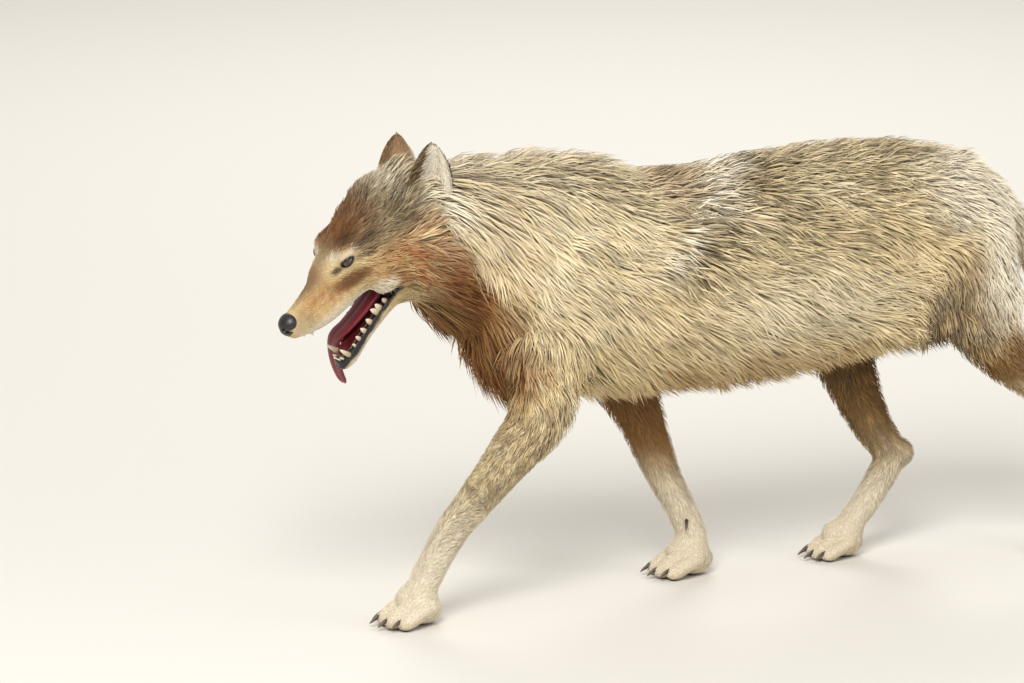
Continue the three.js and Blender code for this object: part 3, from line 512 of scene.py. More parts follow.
def body_field(p, layer="coat"):
    """The whole wolf: trunk, breast, neck, tail, legs and head, their creases rounded."""
    d = soften(TRUNK.measure(p, layer), blob((-276, -4, 452), np.array((74, 84, 92)) - thin(layer, 34))(p), 60)
    d = soften(d, NECK.measure(p, layer), 50)
    d = soften(d, TAIL.measure(p, layer), 22)
    for leg in LEGS.values():
        d = soften(d, leg_field(leg, p, layer), 30)
    h = to_head(p)
    outside = np.linalg.norm(np.maximum(np.maximum(HEAD_LOW - h, h - HEAD_HIGH), 0.0), axis=1)
    near = outside < FAR
    head = outside + 30.0
    if near.any():
        head[near] = head_field(p[near], layer)
    return soften(d, head, 30)


def slide(field, p, e=0.5):
    """Moves places onto the surface field = 0 along the field's gradient, which comes from forward differences."""
    value = field(p)
    g = np.stack([(field(p + e * np.eye(3)[k]) - value) / e for k in range(3)], 1)
    return p - g * (value / np.maximum((g * g).sum(1), 0.2))[:, None]


# ---------------------------------------------------------------- meshes from arrays


def polygonise(field, low, high, step):
    """The surface field = 0 inside a box as quads, from samples a step apart; far blocks get one value each."""
    low = np.asarray(low, float)
    block, group_size = 16, 24  # samples along a block's side, and blocks taken at a time
    count = np.ceil((np.asarray(high, float) - low) / step / block).astype(int)
    values = np.empty(tuple(count * block), np.float32)
    offsets = np.stack(np.meshgrid(*[np.arange(block)] * 3, indexing="ij"), -1).reshape(-1, 3)
    corners = np.stack(np.meshgrid(*[np.arange(c) for c in count], indexing="ij"), -1).reshape(-1, 3) * block
    middles = field(low + (corners + (block - 1) / 2) * step)
    reach = block * step * 0.87 * 1.25  # half a block's diagonal, and a quarter more
    near = np.abs(middles) < reach
    for corner, value in zip(corners[~near], middles[~near]):
        values[tuple(slice(c, c + block) for c in corner)] = value
    for start in range(0, int(near.sum()), group_size):
        group = corners[near][start : start + group_size]
        p = low + (group[:, None, :] + offsets[None]) * step
        v = field(p.reshape(-1, 3)).reshape(len(group), block, block, block)
        for corner, part in zip(group, v):
            values[tuple(slice(c, c + block) for c in corner)] = part
    grid = openvdb.FloatGrid(background=float(step * 3))
    grid.copyFromArray(np.clip(values, -3 * step, 3 * step))
    points, quads = grid.convertToQuads(0.0)
    return low + np.asarray(points, float) * step, np.asarray(quads).astype(int)


def read(items, key, width, kind=np.float32):
    """One property of a mesh's points, edges or loops as an array, with a row for each."""
    values = np.empty(len(items) * width, kind)
    items.foreach_get(key, values)
    return values.reshape(-1, width)


def paint(me, key, value):
    """Gives a mesh a colour for each point."""
    a = me.attributes.new(key, "FLOAT_COLOR", "POINT")
    a.data.foreach_set("color", np.asarray(value, np.float32).ravel())


def make_mesh(name, places, faces, uv=None, colours=None, smooth=True):
    """A mesh from arrays. faces is a list of index arrays, one per number of corners; colours are per point."""
    me = bpy.data.meshes.new(name)
    faces = [f for f in faces if len(f)]
    corners = np.concatenate([f.ravel() for f in faces])
    sizes = np.concatenate([np.full(len(f), f.shape[1]) for f in faces])
    me.vertices.add(len(places))
    me.vertices.foreach_set("co", np.asarray(places, np.float32).ravel())
    me.loops.add(len(corners))
    me.loops.foreach_set("vertex_index", corners.astype(np.int32))
    me.polygons.add(len(sizes))
    me.polygons.foreach_set("loop_start", np.concatenate([[0], np.cumsum(sizes)[:-1]]).astype(np.int32))
    me.update(calc_edges=True)
    if smooth:
        me.shade_smooth()
    if uv is not None:
        layer = me.uv_layers.new(name="OFBake")
        layer.data.foreach_set("uv", np.asarray(uv, np.float32)[corners].ravel())
    for key, value in (colours or {}).items():
        paint(me, key, value)
    me.validate()
    ob = bpy.data.objects.new(name, me)
    bpy.context.scene.collection.objects.link(ob)
    return ob


def sweep(rings, close_ends=True):
    """Faces over a grid of rings of points, n rings of m points, with the ends closed by a fan to a mid point."""
    n, m = rings.shape[:2]
    i, j = np.meshgrid(np.arange(n - 1), np.arange(m), indexing="ij")
    a, b = i * m + j, i * m + (j + 1) % m
    quads = np.stack([a, b, b + m, a + m], -1).reshape(-1, 4)
    places = rings.reshape(-1, 3)
    if not close_ends:
        return places, [quads]
    places = np.vstack([places, rings[0].mean(0), rings[-1].mean(0)])
    k = np.arange(m)
    first = np.stack([(k + 1) % m, k, np.full(m, n * m)], -1)
    last = np.stack([(n - 1) * m + k, (n - 1) * m + (k + 1) % m, np.full(m, n * m + 1)], -1)
    return places, [quads, np.vstack([first, last])]


def join_parts(parts):
    """Several (places, faces, colours) put together as one."""
    places, faces, colours, base = [], {}, {}, 0
    for p, f, c in parts:
        places.append(p)
        for g in f:
            faces.setdefault(g.shape[1], []).append(g + base)
        for key, value in c.items():
            colours.setdefault(key, []).append(value)
        base += len(p)
    return (np.vstack(places), [np.vstack(v) for v in faces.values()],
            {key: np.vstack(v) for key, v in colours.items()})


# ---------------------------------------------------------------- markings
# A marking is a soft patch or band. Five of them mix over the cream ground: gold, rust, grey and white, and dark.


def patch(p, at, radii, soft=0.5):
    """1 in the middle of an ellipsoid, and 0 outside it, with a soft edge."""
    k = np.sqrt((((p - np.array(at, float)) / np.array(radii, float)) ** 2).sum(1))
    return 1.0 - step_up(k, 1.0 - soft, 1.0 + soft)


def pair_patch(h, at, radii, soft=0.5):
    """The same patch on both sides of the head."""
    return patch(folded(h), at, radii, soft)


def waves(p, scale, seed):
    """Smooth random numbers from -1 to 1: a sum of sine waves in seeded directions."""
    rng = np.random.default_rng(seed)
    total = np.zeros(len(p))
    for _ in range(7):
        way = unit(rng.normal(size=3)) / scale * rng.uniform(0.6, 1.6)
        total += np.sin(p @ way * 2 * math.pi + rng.uniform(0, 2 * math.pi))
    return total / 7 * 2.0


def stripe(x, z, start, end, width):
    """1 along an upright stripe between two places seen from the side, fading over its width."""
    return 1.0 - step_up(to_line(x, z, start, end)[0], 0.35 * width, width)


def over(a, b):
    """Marking a with marking b laid over it: a + (1 - a) b."""
    return a + (1 - a) * np.clip(b, 0, 1)


def tuft_numbers(along, chance, dark):
    """What the hair's shader reads as `tuft`: the share along the tuft, the tuft's own chance, and its dark."""
    return np.stack(np.broadcast_arrays(along, chance, dark, 1.0), 1)


def markings(p):
    """Strengths of gold, rust, grey and white, and of dark, at places of the coat."""
    h, j = to_head(p), to_jaw(p)
    x, y, z = p.T
    w1, w2, w3 = waves(p, 120, 1), waves(p, 45, 2), waves(p, 15, 3)
    streaks = waves((p @ turn(-28, 0)) * [0.35, 1, 1.1], 15, 4)  # drawn out along the flank's hair
    in_head = 1.0 - step_up(behind_head(h) + 8 * w2, 5, 62)
    body = 1.0 - in_head
    gold = rust = grey = white = dark = np.zeros(len(p))
    # A grizzled brown-grey back over straw sides, and a golden-brown line of the belly that is painted shade under
    # it.
    behind = step_up(x, -190, -40)
    back = step_up(z + 26 * w1 + 20 * w2, 585, 690) * behind * (1 - 0.75 * step_up(x, 470, 570))
    grey = over(grey, 0.80 * back * (0.70 + 0.45 * streaks))
    rust = over(rust, 0.34 * back * step_up(w2 + 0.5 * streaks, -0.1, 0.8))
    grey = over(grey, 0.55 * patch(p, (110, 0, 600), (230, 400, 62), 0.6) * (0.6 + 0.6 * streaks))
    dark = over(dark, 0.34 * back * step_up(streaks + 0.6 * w3, 0.35, 1.1))
    mane_top = step_up(z + 20 * w2, 660, 745) * (1 - behind)
    grey = over(grey, 0.80 * mane_top * (0.65 + 0.6 * streaks))
    white = over(white, 0.30 * mane_top * step_up(-streaks, -0.2, 0.8))
    rust = over(rust, 0.25 * mane_top * step_up(w2 - streaks, 0.0, 0.8))
    dark = over(dark, 0.42 * mane_top * step_up(streaks + w3, 0.1, 0.9))
    # Painted shade: golden-brown and dark along the lowest edge of the belly, which faces down.
    belly_shade = (1 - step_up(z + 22 * w1 + 14 * w2 + 10 * streaks, 356, 424)) * step_up(z, 300, 335) * body
    belly_shade = belly_shade * step_up(x, -150, -90)
    gold, dark = over(gold, belly_shade), over(dark, 0.42 * belly_shade)
    sides = step_up(z, 340, 400) * (1 - step_up(z, 560, 660))
    gold = over(gold, 0.30 * step_up(streaks + 0.5 * w2, 0.0, 1.0) * sides)
    grey = over(grey, 0.50 * step_up(streaks + 0.6 * w1, 0.05, 1.0) * step_up(z, 380, 440) * body)
    dark = over(dark, 0.20 * step_up(streaks + 0.7 * w2, 0.5, 1.2) * step_up(z, 420, 480) * body)
    white = over(white, 0.30 * step_up(-streaks - 0.6 * w1, 0.2, 1.0) * body)
    # The edge of the cape behind the shoulder: a pale stripe with a dark one behind it.
    spread = 12 * w2
    cape = stripe(x + spread, z, (98, 722), (-64, 586), 34)
    white = over(white, 0.95 * cape * step_up(streaks + 0.5 * w3, -0.5, 0.2))
    dark = over(dark, 0.6 * cape * step_up(-streaks - 0.5 * w3, 0.2, 0.7))
    shade = stripe(x + spread, z, (134, 706), (-30, 566), 30) * step_up(streaks + w3, -0.6, 0.4)
    dark = over(dark, 0.72 * shade)
    rust = over(rust, 0.6 * patch(p, (-40, 0, 706), (46, 300, 30), 0.6))
    white = over(white, 0.7 * patch(p, (545, 0, 655), (110, 400, 70), 0.6))
    white = over(white, 0.42 * patch(p, (-210, 0, 600), (120, 400, 120), 0.7) * step_up(streaks, -0.6, 0.6))
    white = over(white, 0.35 * patch(p, (190, 0, 500), (200, 400, 60), 0.7))
    white = over(white, 0.9 * patch(p, (600, 0, 520), (74, 200, 130), 0.5))
    # Throat and breast: orange-brown locks under a cream mane.
    throat = stripe(x + 20 * w2, z, (-445, 565), (-352, 452), 100) * body
    rust = over(rust, 0.9 * throat * step_up(w2 + streaks, -1.3, 0.1))
    gold = over(gold, throat)
    dark = over(dark, 0.36 * throat + 0.42 * throat * step_up(streaks + w3, 0.0, 0.8))
    gold = over(gold, 0.8 * patch(p, (-345, 0, 420), (62, 160, 80), 0.6))
    white = over(white, 0.40 * patch(p, (-360, 0, 680), (110, 300, 80), 0.6) * step_up(streaks, -0.5, 0.6))
    # Legs: brown flecks above, near white below. The golden-brown and dark on the far foreleg's top and inside the
    # far hind leg are painted shade under the body, warmed as by bounce light; the thigh is dark down its length.
    leg = 1 - step_up(z, 330, 430)
    flecks = leg * step_up(z, 60, 170)
    grey = over(grey, 0.70 * flecks * step_up(w3 + 0.6 * w2, -0.5, 0.6))
    dark = over(dark, 0.22 * flecks * step_up(w3 - w2, -0.3, 0.8))
    # Painted shade with warm bounce light: the top of the far foreleg, under the body.
    far = leg * step_up(z, 150, 250) * step_up(y, 0, 40) * step_up(300 - x, 0, 60)
    gold, rust, dark = over(gold, far), over(rust, 0.25 * far), over(dark, 0.32 * far)
    gold = over(gold, 0.40 * leg * step_up(w2 + w3, -0.5, 0.7) * step_up(z, 90, 200))
    # Painted shade with warm bounce light: the far hind leg, under the body.
    inner = patch(p, (430, 78, 300), (120, 60, 130), 0.5)
    dark = over(dark, 0.66 * inner * step_up(w3 + w2, -1.8, 0.0))
    gold = over(gold, inner)
    thigh = np.maximum(patch(p, (505, 0, 446), (72, 400, 108), 0.4),
                       0.3 * patch(p, (570, 0, 380), (80, 400, 46), 0.5))
    thigh = thigh * step_up(np.abs(y), 30, 50)
    grey = over(grey, 0.70 * thigh * step_up(w3 + w2, -1.2, 0.1))
    gold = over(gold, 0.50 * thigh)
    dark = over(dark, 0.22 * thigh + 0.55 * thigh * step_up(w3, -0.3, 0.4))
    white = over(white, 0.80 * (1 - step_up(z + 22 * w2, 90, 270)) * (1 - 0.8 * inner))
    # Tail: grey-brown above, its tip dark.
    in_tail = step_up(-TAIL.measure(p, "coat"), -8, 6) * step_up(x + 0.6 * (640 - z), 600, 650)
    grey = over(grey, 0.65 * in_tail * (0.7 + 0.4 * w3))
    dark = over(dark, in_tail * (0.75 * (1 - step_up(z + 20 * w2, 295, 370)) + 0.3 * step_up(w3, 0.2, 0.8)))
    # Face: red-brown forehead, grey crown, orange muzzle, white lips, and the dark marks round the eyes.
    f = in_head
    crown = patch(h, (-48, 0, 104), (58, 70, 52), 0.4)
    gold = over(gold, f * 0.8 * crown)
    rust = over(rust, f * 0.95 * crown * (0.9 + 0.2 * w3))
    dark = over(dark, f * crown * (0.30 + 0.35 * step_up(w3, -0.9, 0.5)))
    grey = over(grey, f * 0.55 * patch(h, (-104, 0, 76), (30, 22, 24), 0.5))
    rust = over(rust, f * 0.55 * patch(h, (-146, 0, 48), (66, 22, 16), 0.5))
    dark = over(dark, f * 0.50 * patch(h, (-160, 0, 44), (60, 17, 14), 0.6))
    grey = over(grey, f * 0.62 * patch(h, (62, 0, 112), (70, 90, 62), 0.5))
    white = over(white, f * 0.22 * patch(h, (62, 0, 112), (46, 60, 50), 0.5))
    temple = pair_patch(h, (-8, 62, 70), (48, 34, 36), 0.5)
    gold = over(gold, f * 0.45 * temple)
    grey = over(grey, f * 0.55 * temple)
    dark = over(dark, f * temple * (0.22 + 0.30 * step_up(w3, -0.9, 0.5)))
    dark = over(dark, 0.70 * pair_patch(h, (36, 66, 58), (36, 28, 26), 0.5) * step_up(w3, -0.8, 0.2))
    dark = over(dark, 0.62 * pair_patch(h, (64, 66, 88), (34, 26, 14), 0.5) * step_up(w3, -0.8, 0.2))
    white = over(white, 0.95 * pair_patch(h, (100, 78, 46), (36, 34, 36), 0.5))
    cheek = pair_patch(h, (12, 74, -14), (56, 44, 58), 0.5)
    rust = over(rust, 0.85 * cheek * step_up(streaks + w3, -1.1, 0.2))
    dark = over(dark, cheek * (0.08 + 0.45 * step_up(w3 - streaks, 0.0, 0.9)))
    gold = over(gold, f * 0.5 * pair_patch(h, (-30, 62, 0), (46, 30, 40), 0.6))
    rust = over(rust, f * 0.5 * pair_patch(h, (-30, 62, 6), (46, 30, 36), 0.6) * step_up(w3, -0.9, 0.5))
    gold = over(gold, f * 0.52 * pair_patch(h, (-142, 24, 20), (54, 22, 22), 0.45))
    rust = over(rust, f * 0.58 * pair_patch(h, (-132, 28, 14), (58, 20, 16), 0.6) * step_up(w3, -0.5, 0.6))
    # Round the eye: dark below it, pale before and above it, then a dark brow that curves down behind it.
    below_eye = pair_patch(h, (-86, 40, 20), (36, 18, 12), 0.5)
    gold, dark = over(gold, f * 0.75 * below_eye), over(dark, f * 0.62 * below_eye)
    rust = over(rust, f * 0.7 * below_eye)
    pale = np.maximum(pair_patch(h, (-98, 31, 64), (18, 14, 8), 0.5), pair_patch(h, (-73, 40, 61), (18, 12, 6), 0.5))
    white = over(white, f * 0.75 * pale)
    dark = dark * (1 - 0.8 * f * pale)
    for at, radii, strength in (((-90, 24, 84), (16, 13, 7), 0.55), ((-66, 35, 77), (18, 14, 7), 0.65),
                                ((-46, 47, 62), (17, 15, 9), 0.75), ((-52, 54, 46), (20, 12, 4.5), 0.8),
                                ((-104, 35, 44), (13, 9, 5), 0.9)):
        dark = over(dark, f * strength * pair_patch(h, at, radii, 0.55))
    out, long, up = eye_place(h)
    dark = over(dark, 0.95 * (1 - step_up(np.hypot(long / 2.1, up), 5.0, 8.5)) * (out > 0))
    lips = 1 - step_up(h[:, 2] + 3 * w3, -17, 0)
    upper = step_up(-h[:, 0], 30, 52) * (j[:, 2] > -20)
    white = over(white, f * 0.95 * lips * upper)
    gold, rust = gold * (1 - 0.8 * f * lips * upper), rust * (1 - 0.8 * f * lips * upper)
    chin = pair_patch(j, (-158, 20, -50), (72, 44, 26), 0.5)
    white = over(white, f * 0.9 * chin)
    gold, rust = gold * (1 - 0.8 * f * chin), rust * (1 - 0.8 * f * chin)
    # Places that stay clear of the grizzle: the mane's side, behind the ear, the hip, and the golden-brown ones, of
    # which all but the throat are painted shade.
    mane = patch(p, (-365, 0, 640), (84, 300, 84), 0.6)
    behind_ear = pair_patch(h, (100, 78, 46), (40, 38, 40), 0.5)
    hip = patch(p, (585, 0, 560), (90, 300, 150), 0.5)
    brown = np.maximum.reduce([throat, far, inner, belly_shade])
    calm = np.maximum.reduce([0.75 * mane, 0.85 * behind_ear, 0.65 * hip])
    gold = over(gold, 0.22 * mane)
    grey = grey * (1 - calm) * (1 - 0.85 * brown)
    dark = dark * (1 - calm)
    white = white * (1 - 0.85 * brown)
    grey = over(grey, f * 0.45 * pair_patch(h, (-192, 22, 2), (22, 22, 16), 0.5))
    clear = 1.0 - 0.15 * dark
    marks = np.stack([gold * clear, rust * clear, grey, white * (1 - 0.5 * dark)], 1)
    return np.clip(marks, 0, 1), np.clip(dark, 0, 1)


# ---------------------------------------------------------------- materials


def hex_colour(text):
    """An sRGB hex colour as linear numbers, with full alpha."""
    v = np.array([int(text[i : i + 2], 16) for i in (0, 2, 4)]) / 255.0
    v = np.where(v <= 0.04045, v / 12.92, ((v + 0.055) / 1.055) ** 2.4)
    return (*v.tolist(), 1.0)


def connect(tree, n, **inputs):
    """Sets or links a node's inputs. Their names have _ for a space, and i2 is the third input by its place."""
    for key, value in inputs.items():
        socket = n.inputs[int(key[1:])] if key[0] == "i" and key[1:].isdigit() else n.inputs[key.replace("_", " ")]
        if isinstance(value, bpy.types.NodeSocket):
            tree.links.new(value, socket)
        else:
            socket.default_value = value
    return n


def node(tree, kind, settings=None, **inputs):
    """Adds a node, and sets its settings and its inputs."""
    n = tree.nodes.new(kind)
    for key, value in (settings or {}).items():
        setattr(n, key, value)
    return connect(tree, n, **inputs)


def blank_material(name):
    """A material, its node tree and its shader."""
    m = bpy.data.materials.new(name)
    m.use_nodes = True
    return m, m.node_tree, m.node_tree.nodes["Principled BSDF"]


def mix(tree, a, b, share, kind="MIX"):
    """Mixes two colours by a share, which is a number or a socket."""
    n = node(tree, "ShaderNodeMix", {"data_type": "RGBA", "blend_type": kind}, i0=share, i6=a, i7=b)
    return n.outputs[2]


def wear_and_shade_material(name, base, tip, **inputs):
    """A material that runs from one colour at the base of a tooth or claw to another at its tip."""
    m, tree, shader = blank_material(name)
    up = node(tree, "ShaderNodeAttribute", {"attribute_name": "up"})
    share = node(tree, "ShaderNodeSeparateColor", Color=up.outputs["Color"])
    connect(tree, shader, Base_Color=mix(tree, hex_colour(base), picked(tip), share.outputs[0]), **inputs)
    return m


def picked(key):
    """A colour as the user has set it, with full alpha."""
    return (*getattr(bpy.context.scene.wolf_colours, key), 1.0)


def coat_colour(tree):
    """The coat's own colour at a place: the markings mixed over cream. Returns it with the tuft's numbers."""
    mark = node(tree, "ShaderNodeAttribute", {"attribute_name": "mark"})
    tuft = node(tree, "ShaderNodeAttribute", {"attribute_name": "tuft"})
    parts = node(tree, "ShaderNodeSeparateColor", Color=mark.outputs["Color"])
    numbers = node(tree, "ShaderNodeSeparateColor", Color=tuft.outputs["Color"])
    c = picked("cream")
    for share, key in ((parts.outputs[0], "gold"), (parts.outputs[1], "rust"), (parts.outputs[2], "grey"),
                       (mark.outputs["Alpha"], "white"), (numbers.outputs[2], "dark")):
        c = mix(tree, c, picked(key), share)
    return c, parts, numbers


def coat_material():
    """Hair: darker at the root as painted shade deep in the coat, paler along its length, some tufts and locks darker
    than others.
    """
    m, tree, shader = blank_material("Wolf hair")
    c, parts, numbers = coat_colour(tree)
    along, chance = numbers.outputs[0], numbers.outputs[1]
    # Painted shade: the hair darkens towards its root, deep in the coat.
    lighter = node(tree, "ShaderNodeMapRange", {"interpolation_type": "SMOOTHSTEP"}, Value=along, From_Max=0.7,
                   To_Min=0.80, To_Max=1.05)
    varied = node(tree, "ShaderNodeMapRange", Value=chance, To_Min=0.86, To_Max=1.14)
    light = node(tree, "ShaderNodeMath", {"operation": "MULTIPLY"}, i0=lighter.outputs[0], i1=varied.outputs[0])
    c = mix(tree, c, light.outputs[0], 1.0, "MULTIPLY")
    tip = node(tree, "ShaderNodeMapRange", {"interpolation_type": "SMOOTHSTEP"}, Value=along, From_Min=0.6,
               From_Max=1.0)
    grizzle = node(tree, "ShaderNodeMath", {"operation": "MULTIPLY"}, i0=tip.outputs[0], i1=parts.outputs[2])
    grizzle = node(tree, "ShaderNodeMath", {"operation": "MULTIPLY"}, i0=grizzle.outputs[0], i1=chance)
    c = mix(tree, c, picked("tip"), grizzle.outputs[0])
    connect(tree, shader, Base_Color=c, Roughness=0.78, Specular_IOR_Level=0.22)
    return m


def skin_material():
    """Skin under the hair: the coat's markings, darker as painted shade under the coat; bare black lips, and a wet
    red mouth.
    """
    m, tree, shader = blank_material("Wolf skin")
    # Painted shade: the skin is darkened, as at the hair's roots under the coat.
    c = mix(tree, coat_colour(tree)[0], hex_colour("9a8569"), 0.5, "MULTIPLY")
    bare = node(tree, "ShaderNodeAttribute", {"attribute_name": "bare"})
    shares = node(tree, "ShaderNodeSeparateColor", Color=bare.outputs["Color"])
    place = node(tree, "ShaderNodeTexCoord")
    blotch = node(tree, "ShaderNodeTexNoise", Vector=place.outputs["Object"], Scale=90.0, Detail=3.0)
    red = mix(tree, hex_colour("330b0d"), picked("mouth"), blotch.outputs["Fac"])
    c = mix(tree, c, red, shares.outputs[0])
    c = mix(tree, c, picked("lips"), shares.outputs[1])
    c = mix(tree, c, hex_colour("1d1a19"), shares.outputs[2])
    wet = node(tree, "ShaderNodeMath", {"operation": "MAXIMUM"}, i0=shares.outputs[0], i1=shares.outputs[1])
    rough = node(tree, "ShaderNodeMapRange", Value=wet.outputs[0], To_Min=0.85, To_Max=0.3)
    fold = node(tree, "ShaderNodeTexNoise", Vector=place.outputs["Object"], Scale=260.0, Detail=4.0)
    bump = node(tree, "ShaderNodeBump", Strength=0.35, Distance=0.002, Height=fold.outputs["Fac"])
    connect(tree, shader, Base_Color=c, Roughness=rough.outputs[0], Normal=bump.outputs[0])
    return m


# ---------------------------------------------------------------- the skin

WORK = {}  # what one operator leaves for the next: the skin's arrays, and the two materials


def build_skin(step):
    """Polygonises the skin, doubles its mesh on the head and feet, and slides it onto the field."""

    def field(p):
        return body_field(p, "skin")

    places, quads = polygonise(field, (-740, -150, -6), (816, 150, 806), step)
    bm = bmesh.new()
    ob = make_mesh("skin", places, [quads])
    bm.from_mesh(ob.data)
    bm.verts.ensure_lookup_table()
    for rounds in range(2):
        co = np.array([v.co for v in bm.verts])
        h = to_head(co)
        if rounds == 0:
            fine = (behind_head(h) < 70) | (co[:, 2] < 62)
        else:
            fine = (h[:, 0] < -30) & (np.abs(gape(h)) < 14)
        edges = [e for e in bm.edges if fine[e.verts[0].index] and fine[e.verts[1].index]]
        bmesh.ops.subdivide_edges(bm, edges=edges, cuts=1, use_grid_fill=True)
        bm.verts.index_update()
        bm.verts.ensure_lookup_table()
    bmesh.ops.triangulate(bm, faces=[f for f in bm.faces if len(f.verts) > 4])
    bm.to_mesh(ob.data)
    bm.free()
    me = ob.data
    co = read(me.vertices, "co", 3).astype(float)
    edges = read(me.edges, "vertices", 2, np.int32)
    ends = np.concatenate([edges[:, 0], edges[:, 1]])
    others = np.concatenate([edges[:, 1], edges[:, 0]])
    count = np.bincount(ends, minlength=len(co))[:, None]
    for _ in range(2):
        total = np.stack([np.bincount(ends, co[others, k], len(co)) for k in range(3)], 1)
        co = slide(field, co + 0.5 * (total / count - co))
    co[:, 2] = np.maximum(co[:, 2], 0.0)
    me.vertices.foreach_set("co", to_frame(co).astype(np.float32).ravel())
    me.update()
    me.shade_smooth()
    normals = unit(read(me.vertices, "normal", 3))
    # Bare skin: x is the inside of the mouth, y the black lips, z the soles.
    h, j = to_head(co), to_jaw(co)
    closed, wedge, jaw, hollow = head_fields(h, "skin")
    inner_upper = step_up(-closed, 1.5, 4.5) * (np.abs(wedge) < 6)
    deep = (np.abs(hollow) < 3.5) & (h[:, 0] < 20)
    inside = np.maximum(inner_upper, deep) * (h[:, 0] < -20)
    on_jaw = (np.abs(jaw) < 3) & (j[:, 0] < -25)
    inside *= 1 - on_jaw * (np.abs(hollow) > 2.5)
    lip = (1 - step_up(wedge, 1.5, 5.0)) * (np.abs(closed) < 5) * (h[:, 0] < -16)
    lip = np.maximum(lip, on_jaw * step_up(j[:, 2] + 2 * waves(j, 30, 9), -37, -33))
    lip *= 1 - inside
    sole = 1 - step_up(co[:, 2], 1.0, 7.0)
    bare = np.stack([inside, lip, sole, np.zeros(len(co))], 1)
    mark, dark = markings(co)
    for key, value in (("mark", mark), ("tuft", tuft_numbers(0.0, 0.5, dark)), ("bare", bare)):
        paint(me, key, value)
    unwrap(ob)
    WORK["skin"] = {"co": co, "normal": normals, "bare": bare, "ob": ob}
    WORK["skin_material"], WORK["coat_material"] = skin_material(), coat_material()
    me.materials.append(WORK["skin_material"])
    flesh = ["head", "lower_jaw", "neck", "trunk", "tail"]
    flesh += [f"{leg}_{part}" for leg in ("foreleg_left", "foreleg_right") for part in ("upper", "forearm", "paw")]
    flesh += [f"{leg}_{part}" for leg in ("hindleg_left", "hindleg_right") for part in ("thigh", "shank", "foot")]
    finish_piece(ob, flesh)


def unwrap(ob):
    """Unwraps a mesh by its own shape into a map named OFBake."""
    bpy.ops.object.select_all(action="DESELECT")
    bpy.context.view_layer.objects.active = ob
    ob.select_set(True)
    ob.data.uv_layers.new(name="OFBake")
    bpy.ops.object.mode_set(mode="EDIT")
    bpy.ops.mesh.select_all(action="SELECT")
    bpy.ops.uv.smart_project(angle_limit=math.radians(75), island_margin=0.002)
    bpy.ops.object.mode_set(mode="OBJECT")


# ---------------------------------------------------------------- ears

EAR_WIDTH = 86.0  # of the leaf laid flat, at its root
EAR_TUFTS = (2900, 2600)  # on its outer and on its inner face
EAR_FROM = -0.1  # where its root starts, as a share of its height, down inside the head


def ear_axes(shape):
    """The ear's root, the way up it, the way it opens and the way across it, in the head's frame."""
    root = np.array(shape["root"], float)
    along = np.array(shape["tip"], float) - root
    opening = np.array(shape["opening"], float)
    opening = unit(opening - along * (opening @ along) / (along @ along))
    return root, along, opening, unit(np.cross(along, opening))


def ear_point(shape, u, v, out):
    """A place on an ear: u goes 0 to 1 up it, v goes -1 to 1 across it, and out is mm behind its inner face.

    The half width is W / 2 (1 - u^2)^0.62. Across, the ear follows an arc that
    opens to one side, folded closer at the root than at the tip, and the tip leans back a little.
    """
    root, along, opening, across = ear_axes(shape)
    s = np.clip(u, 0, 1)
    half = EAR_WIDTH / 2 * (1 - s**2) ** 0.62 + 0.4
    cup = 1.22 - 0.55 * s
    bend = half / np.sin(cup)
    radius = bend + out
    a = cup * v
    hollow = bend * np.cos(cup) - radius * np.cos(a) - 4.0 * s**2
    return (root + np.asarray(u)[..., None] * along + (radius * np.sin(a))[..., None] * across
            + hollow[..., None] * opening)


def ear_thickness(u, v):
    """(3.4 - 1.8 u)(1 - |v|^5)(1 - u^7) + 0.25 mm: thick at the root and thin at the rim."""
    s = np.clip(u, 0, 1)
    return (3.4 - 1.8 * s) * (1 - np.abs(v) ** 5) * (1 - s**7) + 0.25


def ear_marks(u, front, inner):
    """Grey-brown behind, with a dark front edge and tip; pale hair inside, dark along its front edge."""
    edge = step_up(front, 0.30, 0.62)
    rim = step_up(np.abs(front), 0.93, 0.99) + step_up(u, 0.95, 0.99)
    white = np.where(inner > 0.5, 1 - edge, 0.85 * step_up(-front, 0.45, 0.85) * (1 - step_up(u, 0.5, 0.85)))
    gold = 0.45 * (1 - inner) + 0.35 * edge
    rust = 0.45 * (1 - inner) * (1 - 0.5 * edge)
    dark = np.where(inner > 0.5, 0.85 * edge, 0.22 + 0.5 * step_up(front, 0.3, 0.8) + 0.3 * step_up(u, 0.7, 1.0))
    dark = np.clip(dark, 0, 0.85) * (1 - 0.8 * np.clip(rim, 0, 1)) * (1 - 0.9 * step_up(-front, 0.5, 0.9))
    return np.stack([gold, rust, np.full(u.shape, 0.25), white], -1), dark


